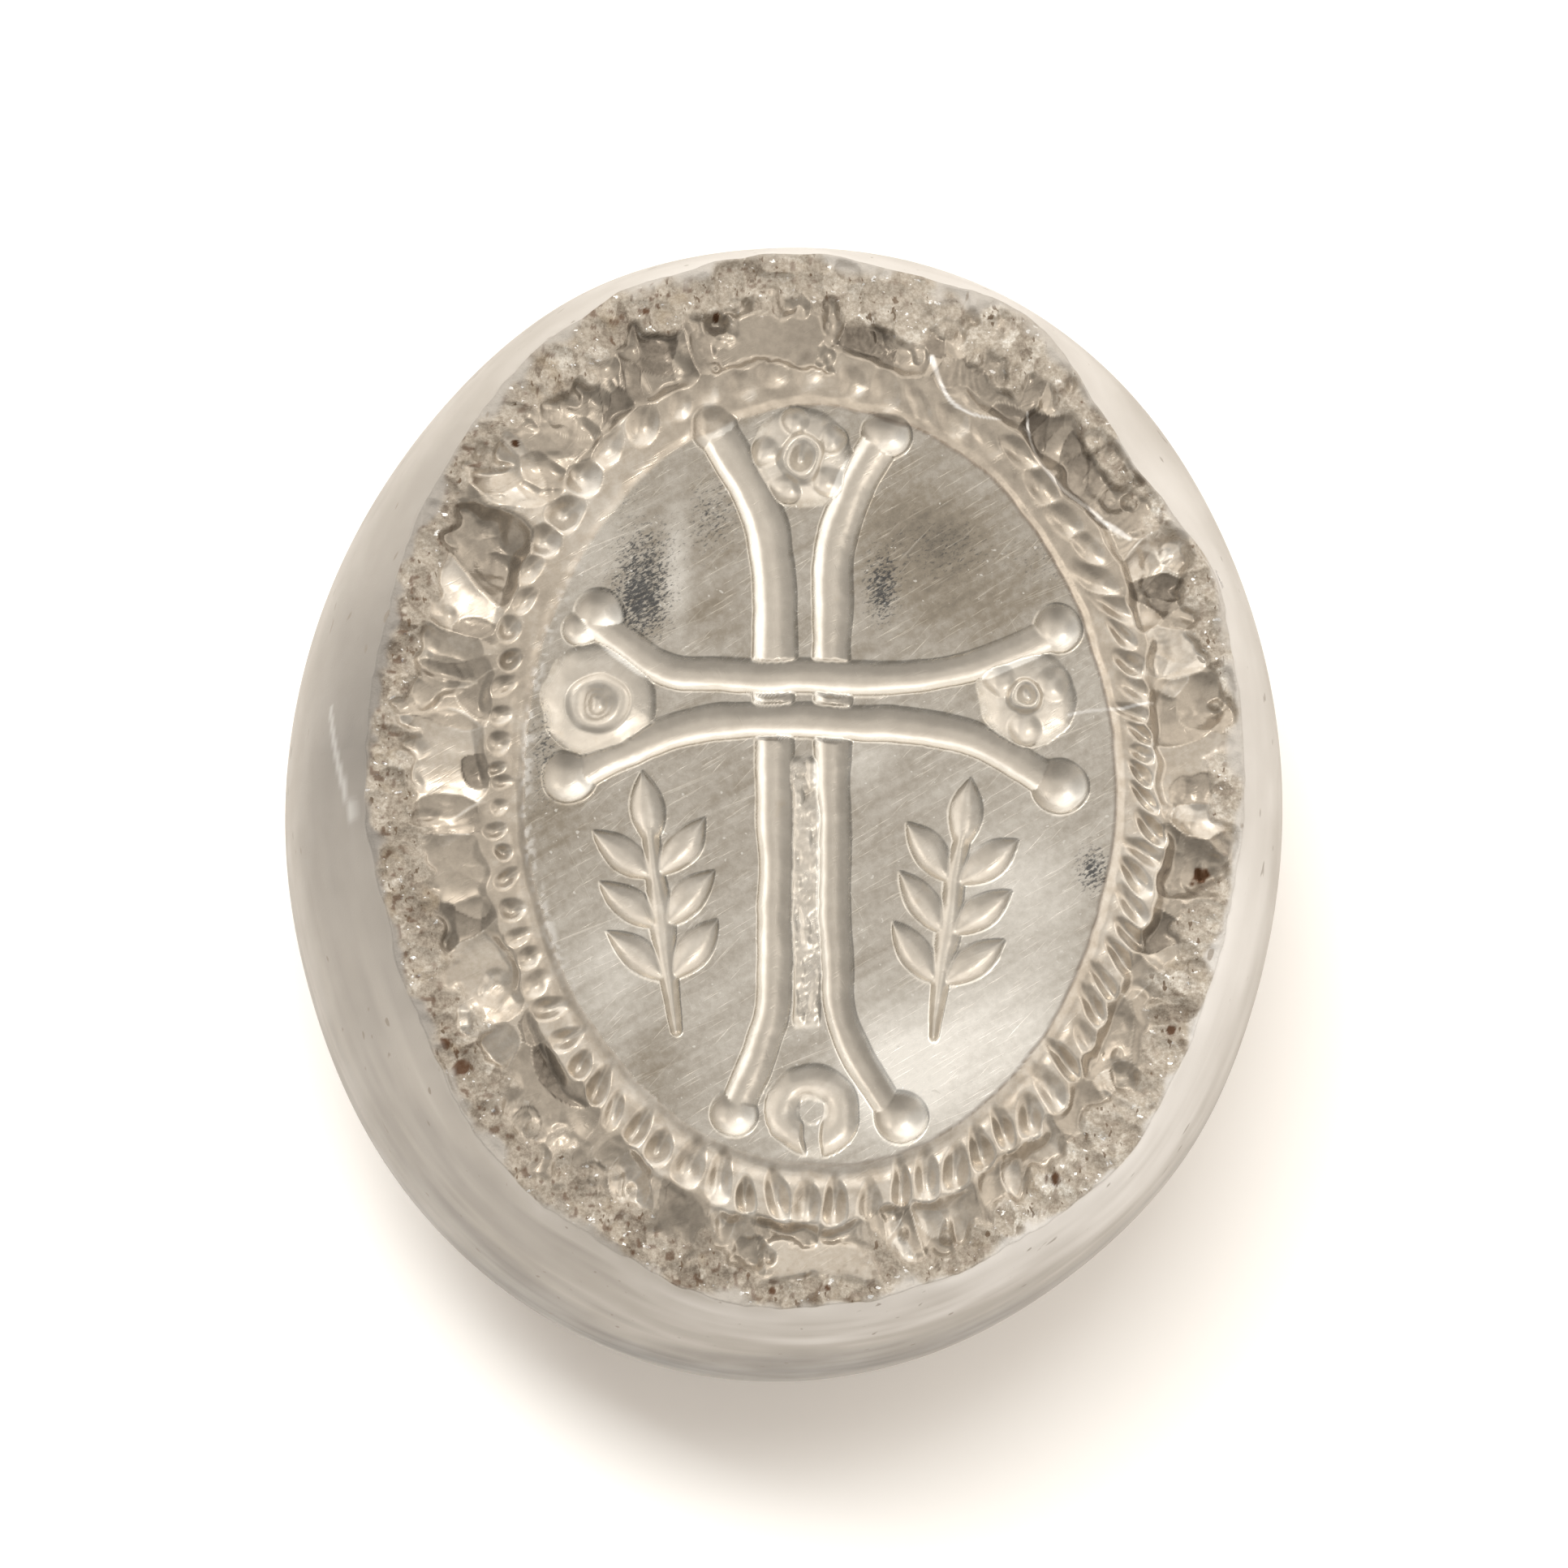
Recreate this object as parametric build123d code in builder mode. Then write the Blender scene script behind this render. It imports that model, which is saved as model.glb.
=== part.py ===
from build123d import *

import os
from math import atan2, cos, degrees, hypot, pi, radians, sin, sqrt

# A pierced rock-crystal stamp seal on a silver swivel bail.
# It lies on its rounded back with the engraved face up and the bail swung down to one side.
# Millimetres, +Z up, +Y along the stone, origin on the floor under the middle of the stone.

# Stone
STONE_WIDTH = 17.6
STONE_LENGTH = 20.0
STONE_HEIGHT = 12.6
WIDEST_HEIGHT = 8.6
BACK_WIDTH = 5.2
BACK_LENGTH = 6.0
SHOULDER_IN_X = 1.1
SHOULDER_IN_Y = 0.7
CHIP_BAND_X = 1.1
CHIP_BAND_Y = 1.4
CHIP_RUN = 1.2
CHIP_DROP = 0.35
SCAR_COUNT = 30
SCAR_SPACING_TURN = 2.4
SCAR_OUT = 0.40
SCAR_OUT_SPREAD = 0.20
SCAR_WIDTH = 1.60
SCAR_WIDTH_SPREAD = 0.45
SCAR_DEPTH = 0.26
DOME_SECTIONS = 7
SHOULDER_SECTIONS = 3
CUT_MARGIN = 1.0

# Engraved cross, cut a little askew to the stone's long axis
ENGRAVING_TURN = 3.8
CROSS_X = -0.05
BEAM_Y = 1.37
SHAFT_SPACING = 0.97
BEAM_SPACING = 0.80
TIP_GAP_TOP = 0.45
TIP_GAP_BOTTOM = 0.75
TIP_GAP_LEFT = 1.10
TIP_GAP_RIGHT = 1.05
FLARE_RUN = 1.5
FLARE_SPREAD = 1.42
FLARE_BEND = 1.6
GROOVE_WIDTH = 0.72
GROOVE_DEPTH = 0.18
TIP_DIAMETER = 0.95
TIP_DEPTH = 0.25
ROSETTE_DIAMETER = 1.76
ROSETTE_DEPTH = 0.17
ROSETTE_BOSS = 0.64
ROSETTE_EYE = 0.30
ROSETTE_EYE_DEPTH = 0.09
ROSETTE_INSET = 0.35

# Channel round the field and wreath of notches outside it
FIELD_X = 0.20
FIELD_Y = -0.05
BORDER_X = 1.35
BORDER_Y = 1.30
CHANNEL_WIDTH = 0.42
CHANNEL_DEPTH = 0.08
NOTCH_GAP = 0.30
NOTCH_LENGTH = 0.90
NOTCH_WIDTH = 0.46
NOTCH_SLANT = 60.0
NOTCH_COUNT = 72
LEAF_LIFT = 0.04

# Leaf sprigs under the beam
SPRIG_X = 2.5
SPRIG_Y = -2.75
SPRIG_LEAN = 7.5
SPRIG_LENGTH = 3.6
STEM_WIDTH = 0.44
LEAF_LENGTH = 1.40
LEAF_WIDTH = 0.52
LEAF_ANGLE = 46.0
LEAF_PAIRS = 3
LEAF_STEP = 0.90
TIP_LEAF_STEP = 1.6

# Swivel mount
PIN_DROP = 5.0
PIN_DIAMETER = 1.4
RUNNING_CLEARANCE = 0.05
RIVET_CLEARANCE = 0.02
CEMENT_GAP = 0.02
TUBE_WALL = 0.35
SEAT_DEPTH = 3.0
SEAT_DIAMETER = 5.8
WASHER_DIAMETER = 2.8
WASHER_THICKNESS = 0.20
EYE_DIAMETER = 3.0
EYE_THICKNESS = 1.0
ROVE_DIAMETER = 2.3
ROVE_THICKNESS = 0.30
HEAD_DIAMETER = 2.0
HEAD_HEIGHT = 0.35
HEAD_ROUND = 0.28
BAIL_WIRE = 0.9
BAIL_CORNER = 6.4
BAIL_INSET = 0.75
BAIL_FLOOR_GAP = 0.02

# Ovals of the face, from the flank inwards
RIM_WIDTH = STONE_WIDTH - 2 * SHOULDER_IN_X
RIM_LENGTH = STONE_LENGTH - 2 * SHOULDER_IN_Y
FACE_WIDTH = RIM_WIDTH - 2 * CHIP_BAND_X
FACE_LENGTH = RIM_LENGTH - 2 * CHIP_BAND_Y
FIELD_WIDTH = FACE_WIDTH - 2 * BORDER_X
FIELD_LENGTH = FACE_LENGTH - 2 * BORDER_Y
TIP_TOP = FIELD_Y + FIELD_LENGTH / 2 - TIP_GAP_TOP
TIP_BOTTOM = FIELD_Y - FIELD_LENGTH / 2 + TIP_GAP_BOTTOM
TIP_LEFT = FIELD_X - FIELD_WIDTH / 2 + TIP_GAP_LEFT
TIP_RIGHT = FIELD_X + FIELD_WIDTH / 2 - TIP_GAP_RIGHT

# Heights and stations that follow from the sizes above
PIN_HEIGHT = WIDEST_HEIGHT - PIN_DROP
TUBE_BORE = PIN_DIAMETER + 2 * RUNNING_CLEARANCE
TUBE_DIAMETER = TUBE_BORE + 2 * TUBE_WALL
RIVET_HOLE = PIN_DIAMETER + 2 * RIVET_CLEARANCE
SEAT_Y = STONE_LENGTH / 2 - SEAT_DEPTH
WASHER_Y = SEAT_Y + RUNNING_CLEARANCE
EYE_Y = WASHER_Y + WASHER_THICKNESS
ROVE_Y = EYE_Y + EYE_THICKNESS
HEAD_Y = ROVE_Y + ROVE_THICKNESS
ARM_Y = EYE_Y + EYE_THICKNESS / 2
CROWN_X = STONE_WIDTH / 2 - BAIL_INSET - BAIL_WIRE / 2
CROWN_DROP = PIN_HEIGHT - BAIL_WIRE / 2 - BAIL_FLOOR_GAP
BAIL_REACH = hypot(CROWN_X, CROWN_DROP)
BAIL_ANGLE = degrees(atan2(CROWN_DROP, CROWN_X))

face_plane = Plane.XY.offset(STONE_HEIGHT)
cross_plane = face_plane.rotated((0, 0, ENGRAVING_TURN))
border_plane = Plane(
    origin=cross_plane.from_local_coords((FIELD_X, FIELD_Y, 0)),
    x_dir=cross_plane.x_dir,
    z_dir=cross_plane.z_dir,
)
bail_plane = Plane(
    origin=(0, 0, PIN_HEIGHT),
    x_dir=(CROWN_X, 0, -CROWN_DROP),
    z_dir=(CROWN_DROP, 0, CROWN_X),
)
END_DIRECTION = {"upper": 1, "lower": -1}


def bulge(height, widest, back, rim):
    """Half size of the stone's oval section at a height, on a quarter ellipse below or above the widest one."""
    if height < WIDEST_HEIGHT:
        reach, end = WIDEST_HEIGHT, back
    else:
        reach, end = STONE_HEIGHT - WIDEST_HEIGHT, rim
    depth = reach / sqrt(1 - (end / widest) ** 2)
    return widest / 2 * sqrt(1 - ((height - WIDEST_HEIGHT) / depth) ** 2)


def pin_station(distance, direction):
    """Plane square to the pin at a distance along it, facing away from the stone."""
    return Plane(
        origin=(0, direction * distance, PIN_HEIGHT),
        x_dir=(1, 0, 0),
        z_dir=(0, direction, 0),
    )


def wheel_radius(width, depth):
    """Radius of a round cutter that leaves a hollow of a width and depth."""
    return (width**2 / 4 + depth**2) / (2 * depth)


def leaf_cutter(length, width):
    """Pointed spindle that cuts a leaf-shaped notch when half of it is sunk into a face."""
    with BuildPart() as cutter:
        with BuildSketch(Plane.XZ):
            with BuildLine():
                edge = ThreePointArc((-length / 2, 0), (0, width / 2), (length / 2, 0))
                Line(edge @ 1, edge @ 0)
            make_face()
        revolve(axis=Axis.X)
    return cutter.part


def pin_ring(station, direction, outside, hole, thickness):
    """Flat ring on the pin."""
    with BuildPart() as ring:
        with BuildSketch(pin_station(station, direction)):
            Circle(outside / 2)
            Circle(hole / 2, mode=Mode.SUBTRACT)
        extrude(amount=thickness)
    return ring.part


# Places of the engraving on the face
tips = []
groove_routes = []
for side in (-1, 1):
    shaft_x = CROSS_X + side * SHAFT_SPACING / 2
    shaft_tip_x = CROSS_X + side * FLARE_SPREAD
    groove_routes.append(
        [
            (shaft_tip_x, TIP_TOP),
            (shaft_x, TIP_TOP - FLARE_RUN),
            (shaft_x, TIP_BOTTOM + FLARE_RUN),
            (shaft_tip_x, TIP_BOTTOM),
        ]
    )
    beam_y = BEAM_Y + side * BEAM_SPACING / 2
    beam_tip_y = BEAM_Y + side * FLARE_SPREAD
    groove_routes.append(
        [
            (TIP_LEFT, beam_tip_y),
            (TIP_LEFT + FLARE_RUN, beam_y),
            (TIP_RIGHT - FLARE_RUN, beam_y),
            (TIP_RIGHT, beam_tip_y),
        ]
    )
for route in groove_routes:
    tips += [route[0], route[-1]]
rosettes = [
    (CROSS_X, TIP_TOP - ROSETTE_INSET),
    (CROSS_X, TIP_BOTTOM + ROSETTE_INSET),
    (TIP_LEFT + ROSETTE_INSET, BEAM_Y),
    (TIP_RIGHT - ROSETTE_INSET, BEAM_Y),
]

# Notches lie along an oval just outside the channel, each leaning off the oval's own direction.
notch_reach_x = FIELD_WIDTH / 2 + CHANNEL_WIDTH + NOTCH_GAP
notch_reach_y = FIELD_LENGTH / 2 + CHANNEL_WIDTH + NOTCH_GAP
notch_places = []
for step in range(NOTCH_COUNT):
    turn = 2 * pi * step / NOTCH_COUNT
    along = degrees(atan2(notch_reach_y * cos(turn), -notch_reach_x * sin(turn)))
    notch_places.append(
        Location(
            (notch_reach_x * cos(turn), notch_reach_y * sin(turn), LEAF_LIFT),
            (0, 0, along + NOTCH_SLANT),
        )
    )

# Scars lie along the chipped edge, each with its own width and distance from the face.
scars = []
for step in range(SCAR_COUNT):
    turn = 2 * pi * step / SCAR_COUNT
    out = SCAR_OUT + SCAR_OUT_SPREAD * cos(SCAR_SPACING_TURN * step)
    scar_x = (FACE_WIDTH / 2 + out) * cos(turn)
    scar_y = (FACE_LENGTH / 2 + out) * sin(turn)
    scar_width = SCAR_WIDTH + SCAR_WIDTH_SPREAD * sin(SCAR_SPACING_TURN * step)
    scars.append((scar_x, scar_y, wheel_radius(scar_width, SCAR_DEPTH)))

# Each sprig is a stem with pairs of leaves and one at its tip, leaning away from the shaft.
stem_places = []
leaf_places = []
for side in (-1, 1):
    lean = 90 - side * SPRIG_LEAN
    stem_places.append(Location((side * SPRIG_X, SPRIG_Y, LEAF_LIFT), (0, 0, lean)))
    leaves = [(TIP_LEAF_STEP * LEAF_STEP, lean)]
    for pair in range(LEAF_PAIRS):
        foot = (pair - LEAF_PAIRS / 2 + 0.5) * LEAF_STEP
        leaves += [(foot, lean - LEAF_ANGLE), (foot, lean + LEAF_ANGLE)]
    for foot, heading in leaves:
        leaf_x = side * SPRIG_X + foot * cos(radians(lean)) + LEAF_LENGTH / 2 * cos(radians(heading))
        leaf_y = SPRIG_Y + foot * sin(radians(lean)) + LEAF_LENGTH / 2 * sin(radians(heading))
        leaf_places.append(Location((leaf_x, leaf_y, LEAF_LIFT), (0, 0, heading)))

# Cutters for the engraving
notch_cutter = leaf_cutter(NOTCH_LENGTH, NOTCH_WIDTH)
stem_cutter = leaf_cutter(SPRIG_LENGTH, STEM_WIDTH)
sprig_leaf_cutter = leaf_cutter(LEAF_LENGTH, LEAF_WIDTH)

# A rosette is a shallow dish round a boss that stays level with the face.
dish_radius = wheel_radius(ROSETTE_DIAMETER, ROSETTE_DEPTH)
with BuildPart() as dish_cutter:
    with Locations((0, 0, dish_radius - ROSETTE_DEPTH)):
        Sphere(dish_radius)
    Cylinder(ROSETTE_BOSS / 2, 2 * dish_radius, mode=Mode.SUBTRACT)

groove_radius = wheel_radius(GROOVE_WIDTH, GROOVE_DEPTH)
tip_radius = wheel_radius(TIP_DIAMETER, TIP_DEPTH)
eye_radius = wheel_radius(ROSETTE_EYE, ROSETTE_EYE_DEPTH)

# Seal stone: a rounded back, a shoulder that draws in to the rim, and a flat engraved face
dome_heights = [
    WIDEST_HEIGHT * (1 - cos(pi / 2 * step / DOME_SECTIONS))
    for step in range(DOME_SECTIONS + 1)
]
shoulder_heights = [
    WIDEST_HEIGHT + (STONE_HEIGHT - WIDEST_HEIGHT) * step / SHOULDER_SECTIONS
    for step in range(1, SHOULDER_SECTIONS + 1)
]
chip_depth = STONE_HEIGHT + CUT_MARGIN
chip_spread = chip_depth * CHIP_RUN / CHIP_DROP

with BuildPart() as seal_stone:
    for height in dome_heights + shoulder_heights:
        with BuildSketch(Plane.XY.offset(height)):
            Ellipse(
                bulge(height, STONE_WIDTH, BACK_WIDTH, RIM_WIDTH),
                bulge(height, STONE_LENGTH, BACK_LENGTH, RIM_LENGTH),
            )
    loft()
    # The chipped edge slopes from the face down to the flank.
    with BuildSketch(face_plane):
        Ellipse(FACE_WIDTH / 2, FACE_LENGTH / 2)
    with BuildSketch(face_plane.offset(-chip_depth)):
        Ellipse(FACE_WIDTH / 2 + chip_spread, FACE_LENGTH / 2 + chip_spread)
    loft(ruled=True, mode=Mode.INTERSECT)
    for scar_x, scar_y, scar_radius in scars:
        with Locations(face_plane.offset(scar_radius - SCAR_DEPTH)):
            with Locations((scar_x, scar_y)):
                Sphere(scar_radius, mode=Mode.SUBTRACT)
    # The engraving
    for route in groove_routes:
        with BuildLine(cross_plane.offset(groove_radius - GROOVE_DEPTH)) as groove:
            FilletPolyline(*route, radius=FLARE_BEND)
        with BuildSketch(Plane(origin=groove.line @ 0, z_dir=groove.line % 0)):
            Circle(groove_radius)
        sweep(mode=Mode.SUBTRACT)
    with Locations(cross_plane.offset(tip_radius - TIP_DEPTH)):
        with Locations(*tips):
            Sphere(tip_radius, mode=Mode.SUBTRACT)
    with Locations(cross_plane.offset(eye_radius - ROSETTE_EYE_DEPTH)):
        with Locations(*rosettes):
            Sphere(eye_radius, mode=Mode.SUBTRACT)
    with Locations(cross_plane):
        with Locations(*rosettes):
            add(dish_cutter.part, mode=Mode.SUBTRACT)
        with Locations(*stem_places):
            add(stem_cutter, mode=Mode.SUBTRACT)
        with Locations(*leaf_places):
            add(sprig_leaf_cutter, mode=Mode.SUBTRACT)
    with BuildSketch(border_plane):
        Ellipse(FIELD_WIDTH / 2 + CHANNEL_WIDTH, FIELD_LENGTH / 2 + CHANNEL_WIDTH)
        Ellipse(FIELD_WIDTH / 2, FIELD_LENGTH / 2, mode=Mode.SUBTRACT)
    extrude(amount=-CHANNEL_DEPTH, mode=Mode.SUBTRACT)
    with Locations(border_plane):
        with Locations(*notch_places):
            add(notch_cutter, mode=Mode.SUBTRACT)
    # The lengthwise bore and the sunk seat at each end of it
    with BuildSketch(pin_station(0, 1)):
        Circle(TUBE_DIAMETER / 2 + CEMENT_GAP)
    extrude(amount=STONE_LENGTH / 2, both=True, mode=Mode.SUBTRACT)
    for direction in END_DIRECTION.values():
        with BuildSketch(pin_station(SEAT_Y, direction)):
            Circle(SEAT_DIAMETER / 2)
        extrude(amount=SEAT_DEPTH, mode=Mode.SUBTRACT)

# Lining of the bore, flush with the seats
with BuildPart() as bore_tube:
    with BuildSketch(pin_station(0, 1)):
        Circle(TUBE_DIAMETER / 2)
        Circle(TUBE_BORE / 2, mode=Mode.SUBTRACT)
    extrude(amount=SEAT_Y, both=True)

# Pin with an upset head at each end
with BuildPart() as axle_pin:
    with BuildSketch(pin_station(0, 1)):
        Circle(PIN_DIAMETER / 2)
    extrude(amount=HEAD_Y, both=True)
    for direction in END_DIRECTION.values():
        with BuildSketch(pin_station(HEAD_Y, direction)):
            Circle(HEAD_DIAMETER / 2)
        extrude(amount=HEAD_HEIGHT)
        outward = Axis((0, 0, PIN_HEIGHT), (0, direction, 0))
        fillet(faces().sort_by(outward)[-1].edges(), HEAD_ROUND)

# Bail: a wire stirrup with an eye at each end
with BuildPart() as bail:
    with BuildLine(bail_plane) as stirrup:
        FilletPolyline(
            (0, ARM_Y),
            (BAIL_REACH, ARM_Y),
            (BAIL_REACH, -ARM_Y),
            (0, -ARM_Y),
            radius=BAIL_CORNER,
        )
    with BuildSketch(Plane(origin=stirrup.line @ 0, z_dir=stirrup.line % 0)):
        Circle(BAIL_WIRE / 2)
    sweep()
    for direction in END_DIRECTION.values():
        with BuildSketch(pin_station(EYE_Y, direction)):
            Circle(EYE_DIAMETER / 2)
        extrude(amount=EYE_THICKNESS)
    with BuildSketch(pin_station(0, 1)):
        Circle(RIVET_HOLE / 2)
    extrude(amount=ROVE_Y, both=True, mode=Mode.SUBTRACT)

pieces = {
    "seal_stone": seal_stone.part,
    "bore_tube": bore_tube.part,
    "axle_pin": axle_pin.part,
    "bail": bail.part,
}

# Washers between the seats and the eyes, and roves under the pin's heads
for end, direction in END_DIRECTION.items():
    pieces[end + "_washer"] = pin_ring(WASHER_Y, direction, WASHER_DIAMETER, RIVET_HOLE, WASHER_THICKNESS)
    pieces[end + "_rove"] = pin_ring(ROVE_Y, direction, ROVE_DIAMETER, RIVET_HOLE, ROVE_THICKNESS)

os.makedirs("parts", exist_ok=True)
for name, piece in pieces.items():
    piece.label = name
    export_step(piece, f"parts/{name}.step")

print(f"bail rests {BAIL_ANGLE:.2f} degrees below level, pin axis at {PIN_HEIGHT:.2f}")
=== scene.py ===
import math

import bpy
import numpy as np
from mathutils import Matrix, Vector


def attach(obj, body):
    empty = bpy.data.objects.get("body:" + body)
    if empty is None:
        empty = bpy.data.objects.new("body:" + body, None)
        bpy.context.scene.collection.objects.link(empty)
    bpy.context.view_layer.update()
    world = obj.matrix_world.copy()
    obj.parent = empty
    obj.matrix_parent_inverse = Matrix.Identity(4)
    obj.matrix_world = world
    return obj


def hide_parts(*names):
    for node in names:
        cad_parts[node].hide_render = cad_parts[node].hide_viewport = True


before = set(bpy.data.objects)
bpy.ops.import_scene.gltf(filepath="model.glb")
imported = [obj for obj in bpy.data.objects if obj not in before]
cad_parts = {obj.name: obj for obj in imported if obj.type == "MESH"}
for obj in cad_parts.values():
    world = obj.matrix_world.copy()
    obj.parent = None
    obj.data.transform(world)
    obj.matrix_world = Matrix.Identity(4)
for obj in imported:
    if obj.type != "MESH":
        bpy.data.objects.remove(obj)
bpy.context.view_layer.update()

# Lengths in the functions below are millimetres until a mesh is written.
MM = 0.001

# Stone, as in the CAD model
STONE_WIDTH = 17.6
STONE_LENGTH = 20.0
STONE_HEIGHT = 12.6
WIDEST_HEIGHT = 8.6
BACK_WIDTH = 5.2
BACK_LENGTH = 6.0
PIN_HEIGHT = 3.6
SEAT_Y = 7.0
SEAT_DIAMETER = 5.8
BORE_DIAMETER = 2.24

# Edge of the face, as in the photograph
RIM_WIDTH = 15.05
RIM_LENGTH = 18.5

# Engraving frame: turned against the stone's long axis, upright in the photograph
ENGRAVING_TURN = math.radians(3.8)
FIELD_CENTRE = (0.24, -0.13)
FIELD_REACH = (5.16, 6.72)
CHANNEL_WIDTH = 0.44
CHANNEL_DEPTH = 0.07

# Edge damage
RIM_DROP = 0.30
CHIP_GAP = 0.30
CRUSH_START = 0.885
CRUSH_BARE = 0.05
RIM_RAGGED = 0.007

# Mesh density
FACE_CELLS = 520
RIM_RINGS = 3
RIM_RING_STEP = 0.045
SMOOTH_BELOW_RIM = 0.3
FLANK_STEP = 2
FLANK_RINGS = 110

rng = np.random.default_rng(11)


def hash_lattice(ix, iy, seed):
    """Repeatable number from 0 to 1 for each whole-numbered lattice point."""
    h = ix.astype(np.uint32) * np.uint32(374761393) + iy.astype(np.uint32) * np.uint32(668265263)
    h = h + np.uint32(seed * 2654435761 % 2**32)
    h = (h ^ (h >> np.uint32(13))) * np.uint32(1274126177)
    h = h ^ (h >> np.uint32(16))
    return h.astype(np.float64) / 4294967295.0


def noise(x, y, size, seed):
    """Smooth noise from -1 to 1 with features of about the given size."""
    u, v = x / size + 1000.0, y / size + 1000.0
    ix, iy = np.floor(u).astype(np.int64), np.floor(v).astype(np.int64)
    fx, fy = u - ix, v - iy
    sx, sy = fx * fx * (3 - 2 * fx), fy * fy * (3 - 2 * fy)
    low = hash_lattice(ix, iy, seed) * (1 - sx) + hash_lattice(ix + 1, iy, seed) * sx
    high = hash_lattice(ix, iy + 1, seed) * (1 - sx) + hash_lattice(ix + 1, iy + 1, seed) * sx
    return (low * (1 - sy) + high * sy) * 2 - 1


def layered(x, y, size, seed, octaves=3):
    """Noise with finer and weaker layers added."""
    total = np.zeros_like(x)
    for k in range(octaves):
        total += noise(x, y, size / 2**k, seed + 17 * k) * 0.5**k
    return total / (2 - 0.5 ** (octaves - 1))


def smoothstep(low, high, value):
    """Soft step from 0 at the low end to 1 at the high end, which may also be the smaller number."""
    t = np.clip((value - low) / (high - low), 0.0, 1.0)
    return t * t * (3 - 2 * t)


def hump(value, place, spread):
    """Soft hump, 1 at its place."""
    return np.exp(-(((value - place) / spread) ** 2))


def join(a, b, blend=0.03):
    """Deeper of two cuts, with the ridge between them worn round."""
    k = np.minimum(blend, np.minimum(a, b)) + 1e-6
    h = np.clip(0.5 + 0.5 * (a - b) / k, 0, 1)
    return b + (a - b) * h + k * h * (1 - h)


def hand(x, y):
    """Moves points a little, so that cuts wander as they do under a hand-held wheel."""
    dx = 0.034 * noise(x, y, 0.80, 71) + 0.006 * noise(x, y, 0.25, 72)
    dy = 0.034 * noise(x, y, 0.80, 73) + 0.006 * noise(x, y, 0.25, 74)
    return x + dx, y + dy


def bulge(height, widest, back, rim):
    """Half size of the stone's oval section at a height."""
    below = height < WIDEST_HEIGHT
    reach = np.where(below, WIDEST_HEIGHT, STONE_HEIGHT - WIDEST_HEIGHT)
    end = np.where(below, back, rim)
    depth = reach / np.sqrt(1 - (end / widest) ** 2)
    return widest / 2 * np.sqrt(np.maximum(0, 1 - ((height - WIDEST_HEIGHT) / depth) ** 2))


def to_engraving(x, y):
    """Places in the stone's frame as places in the engraving's frame."""
    c, s = math.cos(ENGRAVING_TURN), math.sin(ENGRAVING_TURN)
    return c * x + s * y, -s * x + c * y


def route_distance(x, y, points):
    """Distance to a bent route of x, y, half width points, with the half width, side and way along there."""
    best = np.full(x.shape, 1e9)
    half = np.ones_like(x)
    side = np.zeros_like(x)
    run = np.zeros_like(x)
    travelled = 0.0
    for (x0, y0, w0), (x1, y1, w1) in zip(points[:-1], points[1:]):
        dx, dy = x1 - x0, y1 - y0
        length = math.hypot(dx, dy)
        if length == 0:
            continue
        t = np.clip(((x - x0) * dx + (y - y0) * dy) / length**2, 0, 1)
        ox, oy = x - (x0 + t * dx), y - (y0 + t * dy)
        d = np.hypot(ox, oy)
        nearer = d < best
        best = np.where(nearer, d, best)
        half = np.where(nearer, w0 + (w1 - w0) * t, half)
        side = np.where(nearer, np.sign(dx * oy - dy * ox), side)
        run = np.where(nearer, travelled + t * length, run)
        travelled += length
    return best, half, side, run


def rounded(points, steps=7):
    """Smooths a route of x, y, half width points with a curve through the middles of its runs."""
    p = np.array(points)
    out = [p[0]]
    for k in range(1, len(p) - 1):
        a, b, c = (p[k - 1] + p[k]) / 2, p[k], (p[k] + p[k + 1]) / 2
        for t in np.linspace(0, 1, steps):
            out.append((1 - t) ** 2 * a + 2 * t * (1 - t) * b + t * t * c)
    out.append(p[-1])
    return [tuple(q) for q in out]


# Routes of the cross, the two uprights first: x, y and half width of each hand-cut groove
CROSS_GROOVES = [
    [(-1.63, 6.22, 0.38), (-0.72, 4.75, 0.40), (-0.55, 3.6, 0.43), (-0.55, 1.79, 0.41), (-0.53, -1.2, 0.33),
     (-0.53, -3.59, 0.33), (-0.72, -4.80, 0.33), (-1.27, -5.94, 0.32)],
    [(1.42, 6.15, 0.36), (0.62, 4.80, 0.37), (0.47, 3.6, 0.38), (0.47, 1.79, 0.36), (0.50, -1.2, 0.30),
     (0.50, -3.70, 0.30), (0.74, -4.75, 0.31), (1.59, -5.94, 0.31)],
    [(-3.71, 2.73, 0.30), (-2.85, 2.05, 0.31), (-2.10, 1.76, 0.33), (0.09, 1.79, 0.33), (1.85, 1.76, 0.33),
     (2.95, 2.02, 0.31), (4.38, 2.66, 0.30)],
    [(-4.14, -0.03, 0.32), (-3.10, 0.45, 0.33), (-2.00, 0.97, 0.33), (0.09, 1.02, 0.32), (2.25, 0.96, 0.33),
     (3.30, 0.60, 0.32), (4.45, -0.07, 0.33)],
]
GROOVE_DEPTHS = [0.185, 0.175, 0.175, 0.175]
GROOVE_LEAN = -0.22
GROOVE_TONES = [-0.28, -0.44, -0.20, -0.22]
UPRIGHT_FADE = 0.025

# Drilled tips: x, y, radius, depth
TIPS = [
    (-1.62, 6.18, 0.42, 0.21), (1.42, 6.12, 0.45, 0.25), (-3.62, 2.85, 0.46, 0.21),
    (-4.18, -0.06, 0.50, 0.24), (4.42, 2.72, 0.45, 0.25), (4.46, -0.08, 0.50, 0.27),
    (-1.28, -5.98, 0.44, 0.23), (1.66, -5.98, 0.49, 0.27), (-3.95, 2.55, 0.34, 0.17),
]

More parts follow.
